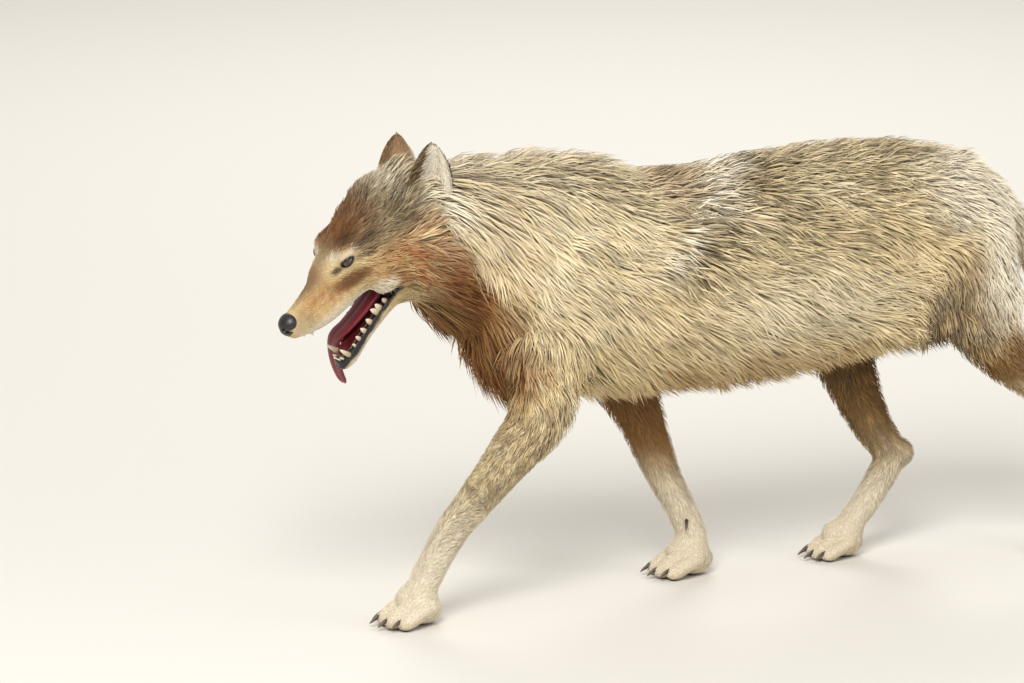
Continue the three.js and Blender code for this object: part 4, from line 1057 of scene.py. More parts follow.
def build_ears():
    """Both ear shells, each a cupped leaf of two faces joined round the rim, with the ears' own hair on them."""
    rng = np.random.default_rng(5)
    u = np.concatenate([np.linspace(EAR_FROM, 0.72, 22), 0.72 + 0.278 * np.sin(np.linspace(0, math.pi / 2, 9)[1:])])
    v = np.sin(np.linspace(-1, 1, 23) * math.pi / 2)
    grid_u, grid_v = np.meshgrid(u, v, indexing="ij")
    hair = []
    for index, (name, shape) in enumerate(EAR_SHAPES.items()):
        side = shape["side"]
        faces = [ear_point(shape, grid_u, grid_v, 0.0),
                 ear_point(shape, grid_u, grid_v, ear_thickness(grid_u, grid_v))[:, ::-1]]
        ring = np.concatenate(faces, 1)
        places, quads = sweep(ring)
        co = from_head(places)
        both_u = np.concatenate([grid_u, grid_u], 1).ravel()
        both_v = np.concatenate([grid_v, grid_v[:, ::-1]], 1).ravel()
        inner = np.concatenate([np.ones_like(grid_u), np.zeros_like(grid_u)], 1).ravel()
        with_ends = [np.concatenate([a, a[:1], a[-1:]]) for a in (both_u, both_v * side, inner)]
        mark, dark = ear_marks(np.clip(with_ends[0], 0, 1), *with_ends[1:])
        ob = make_mesh("ear_" + name, to_frame(co), quads,
                       colours={"mark": mark, "tuft": tuft_numbers(0.2, 0.5, dark), "bare": np.zeros((len(co), 4))})
        fix_faces(ob)
        unwrap(ob)
        ob.data.materials.append(WORK["skin_material"])
        finish_piece(ob, ["ear_" + name])
        for inside, count in enumerate(EAR_TUFTS):
            hair.append(ear_hair(shape, index, inside, count, rng))
    add_hair("coat_ears", *tufts(*[np.concatenate(c) for c in zip(*hair)], 2), "ear_coat")


def ear_hair(shape, index, inside, count, rng):
    """Roots, ways and sizes of an ear's tufts on its outer or inner face, as `tufts` takes them.

    Behind, the hair lies up the ear. Inside, it lies back across the hollow from the front edge and is longer
    and paler there, and along the rear edge it makes a fringe.
    """
    side = shape["side"]
    u = rng.uniform(-0.1, 0.985, count * 2)
    v = rng.uniform(-1, 1, count * 2)
    keep = rng.random(count * 2) < (1 - np.clip(u, 0, 1) ** 2) ** 0.7 * 0.9 + 0.1
    u, v = u[keep][:count], v[keep][:count]
    base = ear_thickness(u, v) * (1 - inside)
    root = ear_point(shape, u, v, base)
    e = 0.01
    top, far = np.minimum(u + e, 0.995), np.minimum(v + e, 1)
    up = unit(ear_point(shape, top, v, base) - ear_point(shape, top - 2 * e, v, base))
    across = unit(ear_point(shape, u, far, base) - ear_point(shape, u, far - 2 * e, base))
    normal = unit(np.cross(up, across))
    outward = root - ear_point(shape, u, 0.0, -20.0)
    normal *= np.sign((outward * normal).sum(1))[:, None] * (1 - 2 * inside)
    front = v * side
    edge = step_up(np.abs(v), 0.8, 1.0)
    back = -side * across * inside * step_up(front, -0.6, 0.6)[:, None]
    lie = unit(up * (1.0 - 0.35 * inside) + back)
    lie = unit(lie - normal * (lie * normal).sum(1, keepdims=True))
    deep = inside * (1 - step_up(u, 0.55, 0.95))
    fringe = step_up(-front, 0.55, 0.9) * (1 - step_up(u, 0.5, 0.85))
    length = 7.0 + 17.0 * deep * step_up(front, -0.8, 0.5) + 14.0 * fringe
    length *= rng.uniform(0.7, 1.2, len(u)) * (1 - 0.6 * edge * (1 - inside))
    height = (1.6 + 7.0 * deep + 5.0 * fringe) * rng.uniform(0.5, 1.0, len(u)) + 1.4 * edge
    mark, dark = ear_marks(np.clip(u, 0, 1), front + rng.normal(0, 0.12, len(u)), np.full(len(u), float(inside)))
    uv = np.stack([0.02 + 0.46 * (u + 0.1) / 1.1 + 0.5 * index, 0.02 + 0.22 * (v + 1) + 0.5 * inside], 1)
    numbers = tuft_numbers(0.0, rng.random(len(u)), dark)
    width = rng.uniform(0.8, 1.3, len(u))
    droop, lock = np.zeros(len(u)), np.zeros((len(u), 3))
    return [from_head(root), normal @ HEAD_TURN.T, lie @ HEAD_TURN.T, length, height, width, droop, lock, uv, mark,
            numbers]


def add_hair(name, places, faces, uv, marks, tone, soft, slot):
    """One piece of the coat as an object. Its shading leans towards the skin's own, so that hair looks soft."""
    ob = make_mesh(name, to_frame(places), faces, uv=uv, colours={"mark": marks, "tuft": tone})
    me = ob.data
    skin_share, own_share = 0.82, 0.18
    blended = unit(skin_share * soft + own_share * read(me.vertices, "normal", 3))
    me.normals_split_custom_set_from_vertices(blended.astype(np.float32))
    me.materials.append(WORK["coat_material"])
    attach(ob, "root")


def fix_faces(ob, weld=0.0):
    """Turns a closed mesh's faces outward, after joining its points that are less than `weld` m apart."""
    bm = bmesh.new()
    bm.from_mesh(ob.data)
    if weld:
        bmesh.ops.remove_doubles(bm, verts=bm.verts, dist=weld)
    bmesh.ops.recalc_face_normals(bm, faces=bm.faces)
    bm.to_mesh(ob.data)
    bm.free()


def finish_piece(ob, nodes):
    """The piece rides on the body and stands for its CAD nodes, which it hides."""
    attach(ob, "root")
    if nodes:
        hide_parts(*nodes)


def closed_piece(name, places, faces, material, nodes, colours=None, weld=0.0):
    """A piece from places in the maker's frame, with its faces outward and its material on."""
    ob = make_mesh(name, to_frame(places), faces, colours=colours)
    fix_faces(ob, weld)
    ob.data.materials.append(material)
    finish_piece(ob, nodes)


# ---------------------------------------------------------------- the coat

SUNK = 0.8  # mm that a tuft's root lies under the skin
TUFT_UV = 0.0014  # half a tuft's width in the unwrap
CLOSEST = 0.78  # the side of the cells that thin the roots, as a share of their mean spacing
CELL_RATIO = 1.2  # between the sizes of those cells


def lie_of_coat(p, n):
    """The way the hair lies: along each limb towards its end and down, drawn flat on the skin."""
    h = to_head(p)
    total = np.zeros_like(p)
    down = np.array([0, 0, -1.0])
    ways = [(TRUNK, 0.42), (NECK, 0.75), (TAIL, 0.25)] + [(leg["flesh"], 0.25) for leg in LEGS.values()]
    for limb, droop in ways:
        d, way = limb.measure(p, "skin", wants_way=True)
        total += np.exp(-np.clip(d, -20, 400) / 11.0)[:, None] * (way + droop * down)
    for leg in LEGS.values():
        q = to_foot(leg, p)
        near = np.exp(-np.clip(q[:, 2] - 34, 0, 400) / 10.0) * (np.linalg.norm(q[:, :2], axis=1) < 90)
        total += near[:, None] * np.array([-1.0, 0, -0.35]) * 1.4
    s = np.sign(h[:, 1])[:, None]
    guides = [  # places and ways on the head's right half, in its frame; y is away from the middle
        ((-200, 0, 30), (1, 0.1, 0.1)), ((-150, 0, 45), (1, 0.15, 0.3)), ((-170, 32, 0), (1, 0.1, -0.05)),
        ((-120, 40, 0), (1, 0.3, -0.15)), ((-110, 0, 75), (1, 0.25, 1.0)), ((-60, 0, 115), (1, 0.1, 0.5)),
        ((-95, 38, 35), (1, 0.4, -0.3)), ((-60, 52, 30), (1, 0.5, -0.4)), ((-60, 45, 80), (0.9, 0.6, 0.3)),
        ((0, 0, 140), (1, 0, 0.1)), ((-10, 70, 60), (1, 0.3, -0.05)), ((0, 80, 0), (1, 0.2, -0.45)),
        ((-40, 60, -20), (1, 0.3, -0.5)), ((50, 80, -40), (0.9, 0.1, -0.6)), ((60, 0, 130), (1, 0, -0.1)),
        ((-200, 0, -60), (1, 0, -0.4)), ((-120, 20, -110), (1, 0.1, -0.3)), ((-40, 30, -110), (1, 0.1, -0.5)),
        ((40, 40, 90), (0.8, 0.1, 0.5)),
    ]
    q = folded(h)
    way, weight = np.zeros_like(p), np.zeros(len(p))
    for at, w in guides:
        k = 1.0 / (((q - np.array(at, float)) ** 2).sum(1) + 60.0) ** 1.5
        way += k[:, None] * unit(w)
        weight += k
    way /= weight[:, None]
    way[:, 1:2] *= s
    in_head = 1.0 - step_up(behind_head(h), 30, 90)
    lie = unit(total) * (1 - in_head)[:, None] + (way @ HEAD_TURN.T) * in_head[:, None]
    lie -= n * (lie * n).sum(1, keepdims=True)
    return unit(lie)


def one_number(cells):
    """One whole number for each different row of whole numbers."""
    total = np.zeros(len(cells), np.int64)
    for column in cells.T:
        total = total * (column.max() - column.min() + 1) + column - column.min()
    return total


def sample_roots(rng, want):
    """Roots spread over the skin, more where hair is fine, thinned so that no two are very close."""
    me = WORK["skin"]["ob"].data
    me.calc_loop_triangles()
    tris, loops = (read(me.loop_triangles, key, 3, np.int32) for key in ("vertices", "loops"))
    uv = read(me.uv_layers["OFBake"].data, "uv", 2)
    co, normal, bare = (WORK["skin"][k] for k in ("co", "normal", "bare"))
    corners = co[tris]
    area = np.linalg.norm(np.cross(corners[:, 1] - corners[:, 0], corners[:, 2] - corners[:, 0]), axis=1) / 2
    middle = corners.mean(1)
    naked = bare[tris].max(2).max(1)
    head = 1.0 - step_up(to_head(middle)[:, 0], -20, 60)
    low = 1.0 - step_up(middle[:, 2], 120, 300)
    density = (1.0 + 3.2 * head + 1.5 * low) * (naked < 0.35)
    weight = area * density
    pick = rng.choice(len(tris), size=want * 2, p=weight / weight.sum())
    a, b = rng.random((2, want * 2))
    flip = a + b > 1
    a, b = np.where(flip, 1 - a, a), np.where(flip, 1 - b, b)
    share = np.stack([1 - a - b, a, b], 1)
    p = (corners[pick] * share[..., None]).sum(1)
    n = unit((normal[tris[pick]] * share[..., None]).sum(1))
    t = (uv[loops[pick]] * share[..., None]).sum(1)
    spacing = np.sqrt(weight.sum() / want / density[pick]) * CLOSEST
    size = spacing.min() * CELL_RATIO ** np.round(np.log(spacing / spacing.min()) / math.log(CELL_RATIO))
    cell = np.floor(p / size[:, None]).astype(np.int64)
    cell = np.column_stack([cell, np.round(size * 100).astype(np.int64)])
    _, keep = np.unique(one_number(cell), return_index=True)
    keep = rng.permutation(keep)[:want]
    return p[keep], n[keep], t[keep]


def tufts(p, n, lie, length, height, width, droop, lock, uv, mark, numbers, rings):
    """Closed three-sided blades that taper to a point.

    A blade leaves its root at p along the lie, rises to its height as s (2 - s), sags by droop s^2 and draws in
    towards its lock's middle as s^1.5, where s goes from 0 at the root to 1 at the tip.
    """
    s = np.linspace(0, 1, rings + 1)[None, :, None]
    side = np.cross(n, lie)
    path = (p[:, None] - n[:, None] * SUNK + lie[:, None] * (length[:, None, None] * s)
            + n[:, None] * (height[:, None, None] * s * (2 - s))
            + lock[:, None] * s**1.5)
    path[..., 2] -= (droop * length)[:, None] * s[..., 0] ** 2
    body = s[:, :rings]
    half = (width[:, None, None] / 2) * (1 - 0.25 * body - 0.45 * body**2)
    c = path[:, :rings]
    up = n[:, None]
    left, right, top = c - side[:, None] * half, c + side[:, None] * half, c + up * half * 0.9
    count = len(p)
    verts = np.concatenate([np.stack([left, right, top], 2).reshape(count, rings * 3, 3), path[:, rings:]], 1)
    per = rings * 3 + 1
    quads, tris = [], [[0, 2, 1]]
    for k in range(rings - 1):
        for i in range(3):
            a, b = 3 * k + i, 3 * k + (i + 1) % 3
            quads.append([a, b, b + 3, a + 3])
    tris += [[3 * (rings - 1) + i, 3 * (rings - 1) + (i + 1) % 3, per - 1] for i in range(3)]
    base = (np.arange(count) * per)[:, None, None]
    faces = [(base + np.array(quads)[None]).reshape(-1, 4), (base + np.array(tris)[None]).reshape(-1, 3)]
    spread = np.concatenate([np.tile([[-1, 0], [1, 0], [0, 0.3]], (rings, 1)), [[0, 0]]])
    spread[:, 1] += np.concatenate([np.repeat(np.linspace(-1, 0.7, rings), 3), [1.0]])
    at = uv[:, None] + spread[None] * TUFT_UV
    along = np.concatenate([np.repeat(np.linspace(0, 1, rings + 1)[:rings], 3), [1.0]])
    tone = np.repeat(numbers[:, None], per, 1)
    tone[..., 0] = along[None]
    marks = np.repeat(mark[:, None], per, 1)
    soft = np.repeat(n[:, None], per, 1)
    return (verts.reshape(-1, 3), faces, at.reshape(-1, 2), marks.reshape(-1, 4), tone.reshape(-1, 4),
            soft.reshape(-1, 3))


def build_coat(sizes):
    """The coat over the whole skin, in pieces that each reach over all of it."""
    rng = np.random.default_rng(sizes.seed)
    p, n, uv = sample_roots(rng, sizes.tufts)
    h = to_head(p)
    count = len(p)
    depth = np.clip(-body_field(p, "coat"), 1.5, 70)
    depth = np.where(p[:, 2] < 240, np.minimum(depth, 9.0), depth)
    mouth = step_up(gape(h), 2, 40) + step_up(h[:, 0], -30, 10) + (to_jaw(p)[:, 2] < -90)
    depth = np.minimum(depth, 4.0 + 60.0 * mouth)
    lie = lie_of_coat(p, n)
    # Locks: tufts of one cell of a warped grid draw together.
    cell_size = np.where(depth > 18, 16.0, np.where(depth > 8, 9.0, 5.0))
    warped = p + 6 * np.stack([waves(p, 60, 11), waves(p, 60, 12), waves(p, 60, 13)], 1)
    cell = np.column_stack([np.floor(warped / cell_size[:, None]), cell_size]).astype(np.int64)
    _, group = np.unique(one_number(cell), return_inverse=True)
    groups = group.max() + 1
    middle = np.zeros((groups, 3))
    np.add.at(middle, group, p)
    middle /= np.bincount(group)[:, None]
    lock_chance = rng.random(groups)[group]
    lock_turn = rng.normal(0, 1, groups)[group]
    angle = 0.17 * lock_turn + 0.13 * rng.normal(0, 1, count) + 0.27 * waves(p, 110, 21) * step_up(depth, 10, 25)
    side = np.cross(n, lie)
    lie = unit(lie * np.cos(angle)[:, None] + side * np.sin(angle)[:, None])
    draw = middle[group] - p
    draw -= n * (draw * n).sum(1, keepdims=True)
    draw *= np.where(depth > 12, 0.62, 0.3)[:, None]
    # Hair is short round the eyes and at the edges of the lips and nose.
    out, long, up = eye_place(h)
    off_eye = step_up(np.hypot(long / 1.35, up) + 30 * (out < -6), 7, 26)
    bare_edge = np.minimum(off_eye, step_up(np.linalg.norm(h - [-207, 0, 10], axis=1), 17, 40))
    bare_edge = np.minimum(bare_edge, np.clip(mouth, 0.15, 1.0))
    length = np.clip(depth * 1.8, 6.0, 80) * (0.74 + 0.3 * lock_chance + 0.22 * rng.random(count))
    length = np.where(depth < 8, np.minimum(length, 4.0 + 1.7 * depth), length) * (0.5 + 0.5 * bare_edge)
    length *= sizes.length
    height = depth * (0.40 + 0.55 * rng.random(count) ** 0.7) * (0.55 + 0.45 * bare_edge)
    width = np.clip(0.050 * length + 0.6, 0.8, 3.2) * rng.uniform(0.75, 1.25, count) * sizes.width
    belly = (1 - step_up(n[:, 2], -0.9, -0.2)) * step_up(depth, 10, 25)
    droop = 0.1 * step_up(depth, 8, 30) + 0.15 * belly
    mark, dark = markings(p + rng.normal(0, 1, (count, 3)) * (1.2 + 0.10 * depth[:, None]))
    chance = np.clip(0.45 * lock_chance + 0.55 * rng.random(count), 0, 1)
    numbers = tuft_numbers(0.0, chance, dark)
    order = rng.permutation(count)
    is_long = depth[order] > 9.0
    for kind, chosen, pieces, rings in (("long", order[is_long], sizes.long_pieces, 3),
                                        ("short", order[~is_long], sizes.short_pieces, 2)):
        for k in range(pieces):
            pick = chosen[k::pieces]
            made = tufts(p[pick], n[pick], lie[pick], length[pick], height[pick], width[pick], droop[pick],
                         draw[pick], uv[pick], mark[pick], numbers[pick], rings)
            add_hair(f"coat_{kind}_{k + 1}", *made, "body_coat")


# ---------------------------------------------------------------- eyes

CORNEA = 0.07  # the bulge of the cornea, as a share of the eye's radius
SPOT_SCALE = 1.6  # the value of `spot` at the back of the eye
LID_POWER = 1.6  # 2 would make the opening an oval, and 1 a diamond
WELD = 1e-6  # m between points that are one point


def eye_material():
    """A clear, wet eye: black pupil, amber iris darkened as painted shade from the brow, with a dark ring and
    streaks, brown beyond it.
    """
    m, tree, shader = blank_material("Wolf eye")
    spot = node(tree, "ShaderNodeAttribute", {"attribute_name": "spot"})
    parts = node(tree, "ShaderNodeSeparateColor", Color=spot.outputs["Color"])
    streak = node(tree, "ShaderNodeTexNoise", {"noise_dimensions": "2D"}, Vector=node(
        tree, "ShaderNodeCombineXYZ", X=parts.outputs[1], Y=parts.outputs[0]).outputs[0], Scale=9.0, Detail=3.0)
    ramp = node(tree, "ShaderNodeValToRGB", Fac=parts.outputs[0])
    e = ramp.color_ramp.elements
    pupil, ring = hex_colour("030303"), hex_colour("0b0706")
    # The iris' browns are kept dark as painted shade from the brow.
    stops = ((0.0, pupil), (0.125, pupil), (0.145, hex_colour("37230d")), (0.2, picked("iris")),
             (0.25, hex_colour("472d11")), (0.285, hex_colour("1c1008")), (0.32, ring), (1.0, hex_colour("130e0b")))
    while len(e) < len(stops):
        e.new(0.5)
    for k, (place, colour) in enumerate(stops):
        e[k].position = place
        e[k].color = colour
    shade = node(tree, "ShaderNodeMapRange", Value=streak.outputs["Fac"], To_Min=0.6, To_Max=1.35)
    c = mix(tree, ramp.outputs["Color"], shade.outputs[0], 1.0, "MULTIPLY")
    connect(tree, shader, Base_Color=c, Roughness=0.12, Coat_Weight=1.0, Coat_Roughness=0.02)
    return m


def round_eye(side, r, a, b):
    """Places r from an eye's middle, at the angle a from its axis and b round it, in the head's frame.

    That is the middle, and r cos a along the axis, r sin a cos b the long way and r sin a sin b up.
    """
    at, axis, long, up = eye_frame(side)
    return at + (r * np.cos(a))[..., None] * axis + (r * np.sin(a) * np.cos(b))[..., None] * long + (
        r * np.sin(a) * np.sin(b))[..., None] * up


def build_eyes():
    """Balls whose cornea bulges over the iris by CORNEA exp(-(a / 0.62)^4), at the angle a from the axis.

    `spot` holds that angle as a share of the iris' own scale, and the angle round the axis.
    """
    material = eye_material()
    for name, side in (("left", -1), ("right", 1)):
        a = np.linspace(0, math.pi, 49)[1:-1, None]
        b = np.linspace(0, 2 * math.pi, 64, endpoint=False)[None]
        r = (EYE_RADIUS - 0.5) * (1 + CORNEA * np.exp(-((a / 0.62) ** 4)))
        ring = round_eye(side, r, a, b)
        places, faces = sweep(ring)
        spot = np.zeros((len(places), 4))
        grid = np.stack(np.broadcast_arrays(a / math.pi * SPOT_SCALE, b), -1)
        spot[: ring.shape[0] * ring.shape[1], :2] = grid.reshape(-1, 2)
        spot[-1, 0] = SPOT_SCALE
        closed_piece("eye_" + name, from_head(places), faces, material, ["eye_" + name], {"spot": spot})


def lid_edge(angle):
    """How far the lid's edge is from the eye's axis, in radians, at each angle round it.

    An almond: (|cos angle / wide|^k + |sin angle / high|^k)^(-1 / k), with its own width and height on each side.
    """
    c, s = np.cos(angle), np.sin(angle)
    wide = np.where(c > 0, 1.02, 0.92)
    high = np.where(s > 0, 0.19, 0.27)
    k = LID_POWER
    return (np.abs(c / wide) ** k + np.abs(s / high) ** k) ** (-1 / k)


def build_lids():
    """The rims of the lids: a rounded roll from the ball, out over the edge and down into the face."""
    parts = []
    for side in (-1, 1):
        angle = np.linspace(0, 2 * math.pi, 96, endpoint=False)[None]
        turn_by = np.linspace(-0.5 * math.pi, 1.35 * math.pi, 14)[:, None]
        thick = 1.1 + 0.5 * (np.sin(angle) > 0) * np.abs(np.sin(angle))
        r = EYE_RADIUS + 0.5 + thick * (0.45 + 0.75 * np.sin(turn_by))
        a = lid_edge(angle) + 0.05 + (thick + 0.7) / EYE_RADIUS * (1 - np.cos(turn_by)) * 0.75
        ring = round_eye(side, r, a, angle)
        places, faces = sweep(np.concatenate([ring, ring[:1]], 0), close_ends=False)
        parts.append((from_head(places), faces, {}))
    places, faces, _ = join_parts(parts)
    m, tree, shader = blank_material("Wolf eyelid")
    connect(tree, shader, Base_Color=picked("eyelid"), Roughness=0.38)
    closed_piece("eyelids", places, faces, m, [], weld=WELD)


# ---------------------------------------------------------------- nose, tongue, teeth and claws


def nose_field(h):
    """The nose pad: a blunt wedge with comma-shaped nostrils and a groove down its middle."""
    y = np.abs(h[:, 1])
    d = ellipsoid_distance(h[:, 0] + 207, h[:, 1], h[:, 2] - 10, 18, 19.5, 17.5)
    d = soften(d, ellipsoid_distance(h[:, 0] + 214, h[:, 1], h[:, 2] - 6, 12, 14, 14), 8)
    hole = ellipsoid_distance(h[:, 0] + 225, y - 8.2, h[:, 2] - 10, 10, 4.2, 4.6)
    slit = ellipsoid_distance(h[:, 0] + 216, y - 15.5, h[:, 2] - 5.5, 11, 6.0, 1.9)
    d = carve(d, soften(hole, slit, 3), 1.6)
    groove = np.hypot(h[:, 0] + 229, h[:, 1] * 1.6) - 2.6 + 40 * step_up(h[:, 2], 8, 20)
    return carve(d, groove, 1.5)


def build_nose():
    """The nose pad, polygonised at under a millimetre."""
    places, quads = polygonise(nose_field, (-232, -24, -14), (-184, 24, 34), 0.8)
    places = slide(nose_field, slide(nose_field, places, 0.3), 0.3)
    m, tree, shader = blank_material("Wolf nose leather")
    place = node(tree, "ShaderNodeTexCoord")
    cells = node(tree, "ShaderNodeTexVoronoi", Vector=place.outputs["Object"], Scale=620.0)
    bump = node(tree, "ShaderNodeBump", {"invert": True}, Strength=0.5, Distance=0.0006,
                Height=cells.outputs["Distance"])
    connect(tree, shader, Base_Color=picked("nose"), Roughness=0.42, Coat_Weight=0.35, Coat_Roughness=0.3,
            Normal=bump.outputs[0])
    closed_piece("nose", from_head(places), [quads], m, ["nose"])


def build_tongue():
    """A flat oval carried along the tongue's path, with a groove down its middle; its tip is rounded."""
    stations = [  # place, half width, half thickness
        ((-20, 0, -24), 25, 9), ((-65, 0, -20), 24, 8.5), ((-105, 5, -17.5), 21.5, 7.5), ((-138, 15, -15), 19, 6.6),
        ((-164, 29, -15.5), 17, 5.8), ((-184, 36, -30), 16, 5), ((-203, 37, -50), 15, 4.6), ((-216, 37, -70), 12, 4),
        ((-219, 37, -77), 6, 2.4),
    ]
    path = smooth_path([s[0] for s in stations], 8)
    size = smooth_path([(s[1], s[2], 0) for s in stations], 8)
    along = unit(np.gradient(path, axis=0))
    side = unit(np.array([0, 1.0, 0]) - along * along[:, 1:2])
    up = np.cross(along, side)
    up *= np.sign(up[:1, 2:3])
    a = np.linspace(0, 2 * math.pi, 40, endpoint=False)[None]
    across, rise = size[:, 0:1] * np.cos(a), size[:, 1:2] * np.sin(a)
    groove = 2.2 * np.exp(-((across / (0.22 * size[:, 0:1])) ** 2)) * (np.sin(a) > 0)
    rim = 1.5 * (np.abs(np.cos(a)) ** 4)
    rise = rise - groove + rim * (np.sin(a) > 0)
    places, faces = sweep(path[:, None] + across[..., None] * side[:, None] + rise[..., None] * up[:, None])
    m, tree, shader = blank_material("Wolf tongue")
    place = node(tree, "ShaderNodeTexCoord")
    cells = node(tree, "ShaderNodeTexVoronoi", Vector=place.outputs["Object"], Scale=900.0)
    bump = node(tree, "ShaderNodeBump", Strength=0.35, Distance=0.0006, Height=cells.outputs["Distance"])
    blotch = node(tree, "ShaderNodeTexNoise", Vector=place.outputs["Object"], Scale=60.0, Detail=3.0)
    c = mix(tree, hex_colour("5f1620"), picked("tongue"), blotch.outputs["Fac"])
    connect(tree, shader, Base_Color=c, Roughness=0.42, Subsurface_Weight=0.15, Subsurface_Scale=0.003,
            Normal=bump.outputs[0])
    closed_piece("tongue", from_jaw(places), faces, m, ["tongue"])


def spike(base, way, bend, length, radius, flat, blunt, rows=9, sides=12):
    """A tooth or claw: a cone that narrows as (1 - t^2)^blunt from its base along its way, and bends as t^2."""
    along = unit(way)
    across = unit(np.array([0, 1.0, 0]) - along * along[1])
    third = np.cross(along, across)
    t = np.linspace(0, 0.995, rows)[:, None]
    a = np.linspace(0, 2 * math.pi, sides, endpoint=False)[None]
    r = radius * (1 - t**2) ** blunt
    ring = (np.asarray(base, float) + (t * length)[..., None] * along
            + (t**2 * length)[..., None] * np.asarray(bend, float)
            + (r * flat * np.cos(a))[..., None] * across + (r * np.sin(a))[..., None] * third)
    places, faces = sweep(ring)
    shade = np.zeros((len(places), 4))
    shade[:-2, 0] = np.repeat(t[:, 0], sides)
    shade[-1, 0] = 1
    return places, faces, {"up": shade}


STRAIGHT = (0, 0, 0)
TEETH = (  # which jaw, height of the roots, way, flatness, bluntness, bend, and (x, y, length, radius) of each tooth
    (from_head, -8, (-0.12, 0.05, -1), 0.75, 0.7, (0.14, 0, 0), ((-190, 16.5, 19, 4.6),)),  # canine
    (from_head, -5, (-0.15, 0, -1), 0.8, 0.5, STRAIGHT,  # incisors
     ((-205, 2.7, 12, 2.5), (-204, 7.9, 13, 2.8), (-200, 12.5, 15, 3.2))),
    (from_head, -12, (0, 0.06, -1), 0.5, 0.6, STRAIGHT,  # premolars and a molar
     ((-168, 21, 7, 3.5), (-152, 24, 8, 5), (-134, 27, 9, 6), (-110, 31, 12, 9), (-88, 30, 8, 7))),
    (from_jaw, -28, (-0.16, 0.18, 1), 0.8, 0.7, (0.10, 0, 0), ((-181, 17, 27, 4.8),)),
    (from_jaw, -29, (-0.2, 0, 1), 0.8, 0.5, STRAIGHT,
     ((-194, 2.4, 12, 2.2), (-193.5, 6.8, 13, 2.5), (-190, 11.2, 14, 2.8))),
    (from_jaw, -26, (0, 0.08, 1), 0.5, 0.6, STRAIGHT,
     ((-164, 21.5, 8, 2.9), (-151, 24, 11, 4.0), (-136, 27, 12, 4.7), (-119, 30, 13, 5.2))),
    (from_jaw, -26, (0, 0.06, 1), 0.5, 0.6, (-0.1, 0, 0), ((-100, 34, 17, 5.6),)),  # the carnassial's two points
    (from_jaw, -26, (0, 0.06, 1), 0.5, 0.6, (0.1, 0, 0), ((-92, 35, 14, 5.8),)),
    (from_jaw, -27, (0, 0.04, 1), 0.6, 0.5, STRAIGHT, ((-77, 37, 9, 4.8),)),
)


def build_teeth():
    """Incisors, canines, premolars and molars of both jaws, joined, in ivory that darkens towards the gum as painted
    shade of the mouth.
    """
    parts = []
    for s in (-1, 1):
        for to_world, z, way, flat, blunt, bend, row in TEETH:
            for x, y, length, radius in row:
                way_out = (way[0], s * way[1], way[2])
                places, faces, c = spike((x, s * y, z), way_out, bend, length, radius, flat, blunt)
                parts.append((to_world(places), faces, c))
    places, faces, colours = join_parts(parts)
    # Painted shade: the teeth darken from the tip towards the gum, inside the mouth. On the claws the same darker
    # base is the horn's own colour.
    enamel = wear_and_shade_material("Wolf tooth enamel", "8f7656", "enamel", Roughness=0.28, Coat_Weight=0.3)
    closed_piece("teeth", places, faces, enamel, [], colours)


DEWCLAWS = (  # the leg, the claw's root in the maker's frame, and its way
    ("foreleg_left", (-452, -43, 98), (-0.45, 0.8, -0.6)),
    ("foreleg_right", (64, 34, 98), (-0.45, -0.8, -0.6)),
)


def build_claws():
    """A dark, curved, blunt-tipped claw on every toe, and the dewclaws."""
    parts, nodes = [], []
    toes = [(-side, lead) for side, lead, _ in TOES[::-1]] + [(side, lead) for side, lead, _ in TOES]
    for name, leg in LEGS.items():
        length, width, toe = leg["foot"][2]
        for k, (side, lead) in enumerate(toes):
            base = (-lead * length - toe * 0.42, side * width, toe * 1.15)
            places, faces, c = spike(base, (-1, side * 0.25, -0.15), (0, 0, -0.38), 21, 4.0, 0.72, 0.62, 12)
            places[:, 2] = np.maximum(places[:, 2], 0.3)
            parts.append((from_foot(leg, places), faces, c))
            nodes.append(f"{name}_claw_{k + 1}")
    for name, base, way in DEWCLAWS:
        parts.append(spike(base, way, (0, 0, -0.25), 19, 3.6, 0.8, 0.62, 12))
        nodes.append(f"{name}_dewclaw")
    places, faces, colours = join_parts(parts)
    horn = wear_and_shade_material("Wolf claw horn", "2a221c", "horn", Roughness=0.4)
    closed_piece("claws", places, faces, horn, nodes, colours)


# ---------------------------------------------------------------- stage


def build_stage(stage):
    """A pale floor that fades into a pale surround, a soft high key light, and the camera."""
    scene = bpy.context.scene
    corners = np.array([[-30, -30], [30, -30], [30, 30], [-30, 30]])
    under = -0.0005  # m, so that the soles and the floor do not share a plane
    corners = np.column_stack([corners, np.full(4, under)])
    floor = make_mesh("floor", corners, [np.array([[0, 1, 2, 3]])], smooth=False)
    m, tree, shader = blank_material("Studio floor")
    connect(tree, shader, Base_Color=(*stage.floor, 1.0), Roughness=0.9)
    floor.data.materials.append(m)
    world = bpy.data.worlds.new("Studio surround")
    world.use_nodes = True
    connect(world.node_tree, world.node_tree.nodes["Background"], Color=(*stage.surround, 1.0), Strength=0.75)
    scene.world = world
    for name, place, power, width in (
        ("Key light", (-3.0, -4.4, 5.2), stage.key_power, 3.0),
        ("Fill light", (4.5, -4.5, 2.2), stage.fill_power, 3.0),
        ("Rim light", (2.0, 4.5, 4.0), stage.rim_power, 2.5),
    ):
        light = bpy.data.lights.new(name, "AREA")
        light.energy, light.size = power, width
        ob = bpy.data.objects.new(name, light)
        ob.location = place
        aim_at(ob, (0, 0, 0.4))
        scene.collection.objects.link(ob)
    camera = bpy.data.objects.new("Camera", bpy.data.cameras.new("Camera"))
    scene.collection.objects.link(camera)
    a, e = stage.azimuth, stage.elevation
    back = np.array([math.sin(a) * math.cos(e), -math.cos(a) * math.cos(e), math.sin(e)])
    camera.location = np.array(stage.aim) + back * stage.distance
    aim_at(camera, stage.aim)
    camera.data.sensor_width = 36.0
    camera.data.lens = stage.lens
    camera.data.clip_end = 100.0
    scene.camera = camera
    scene.view_settings.view_transform = "Standard"


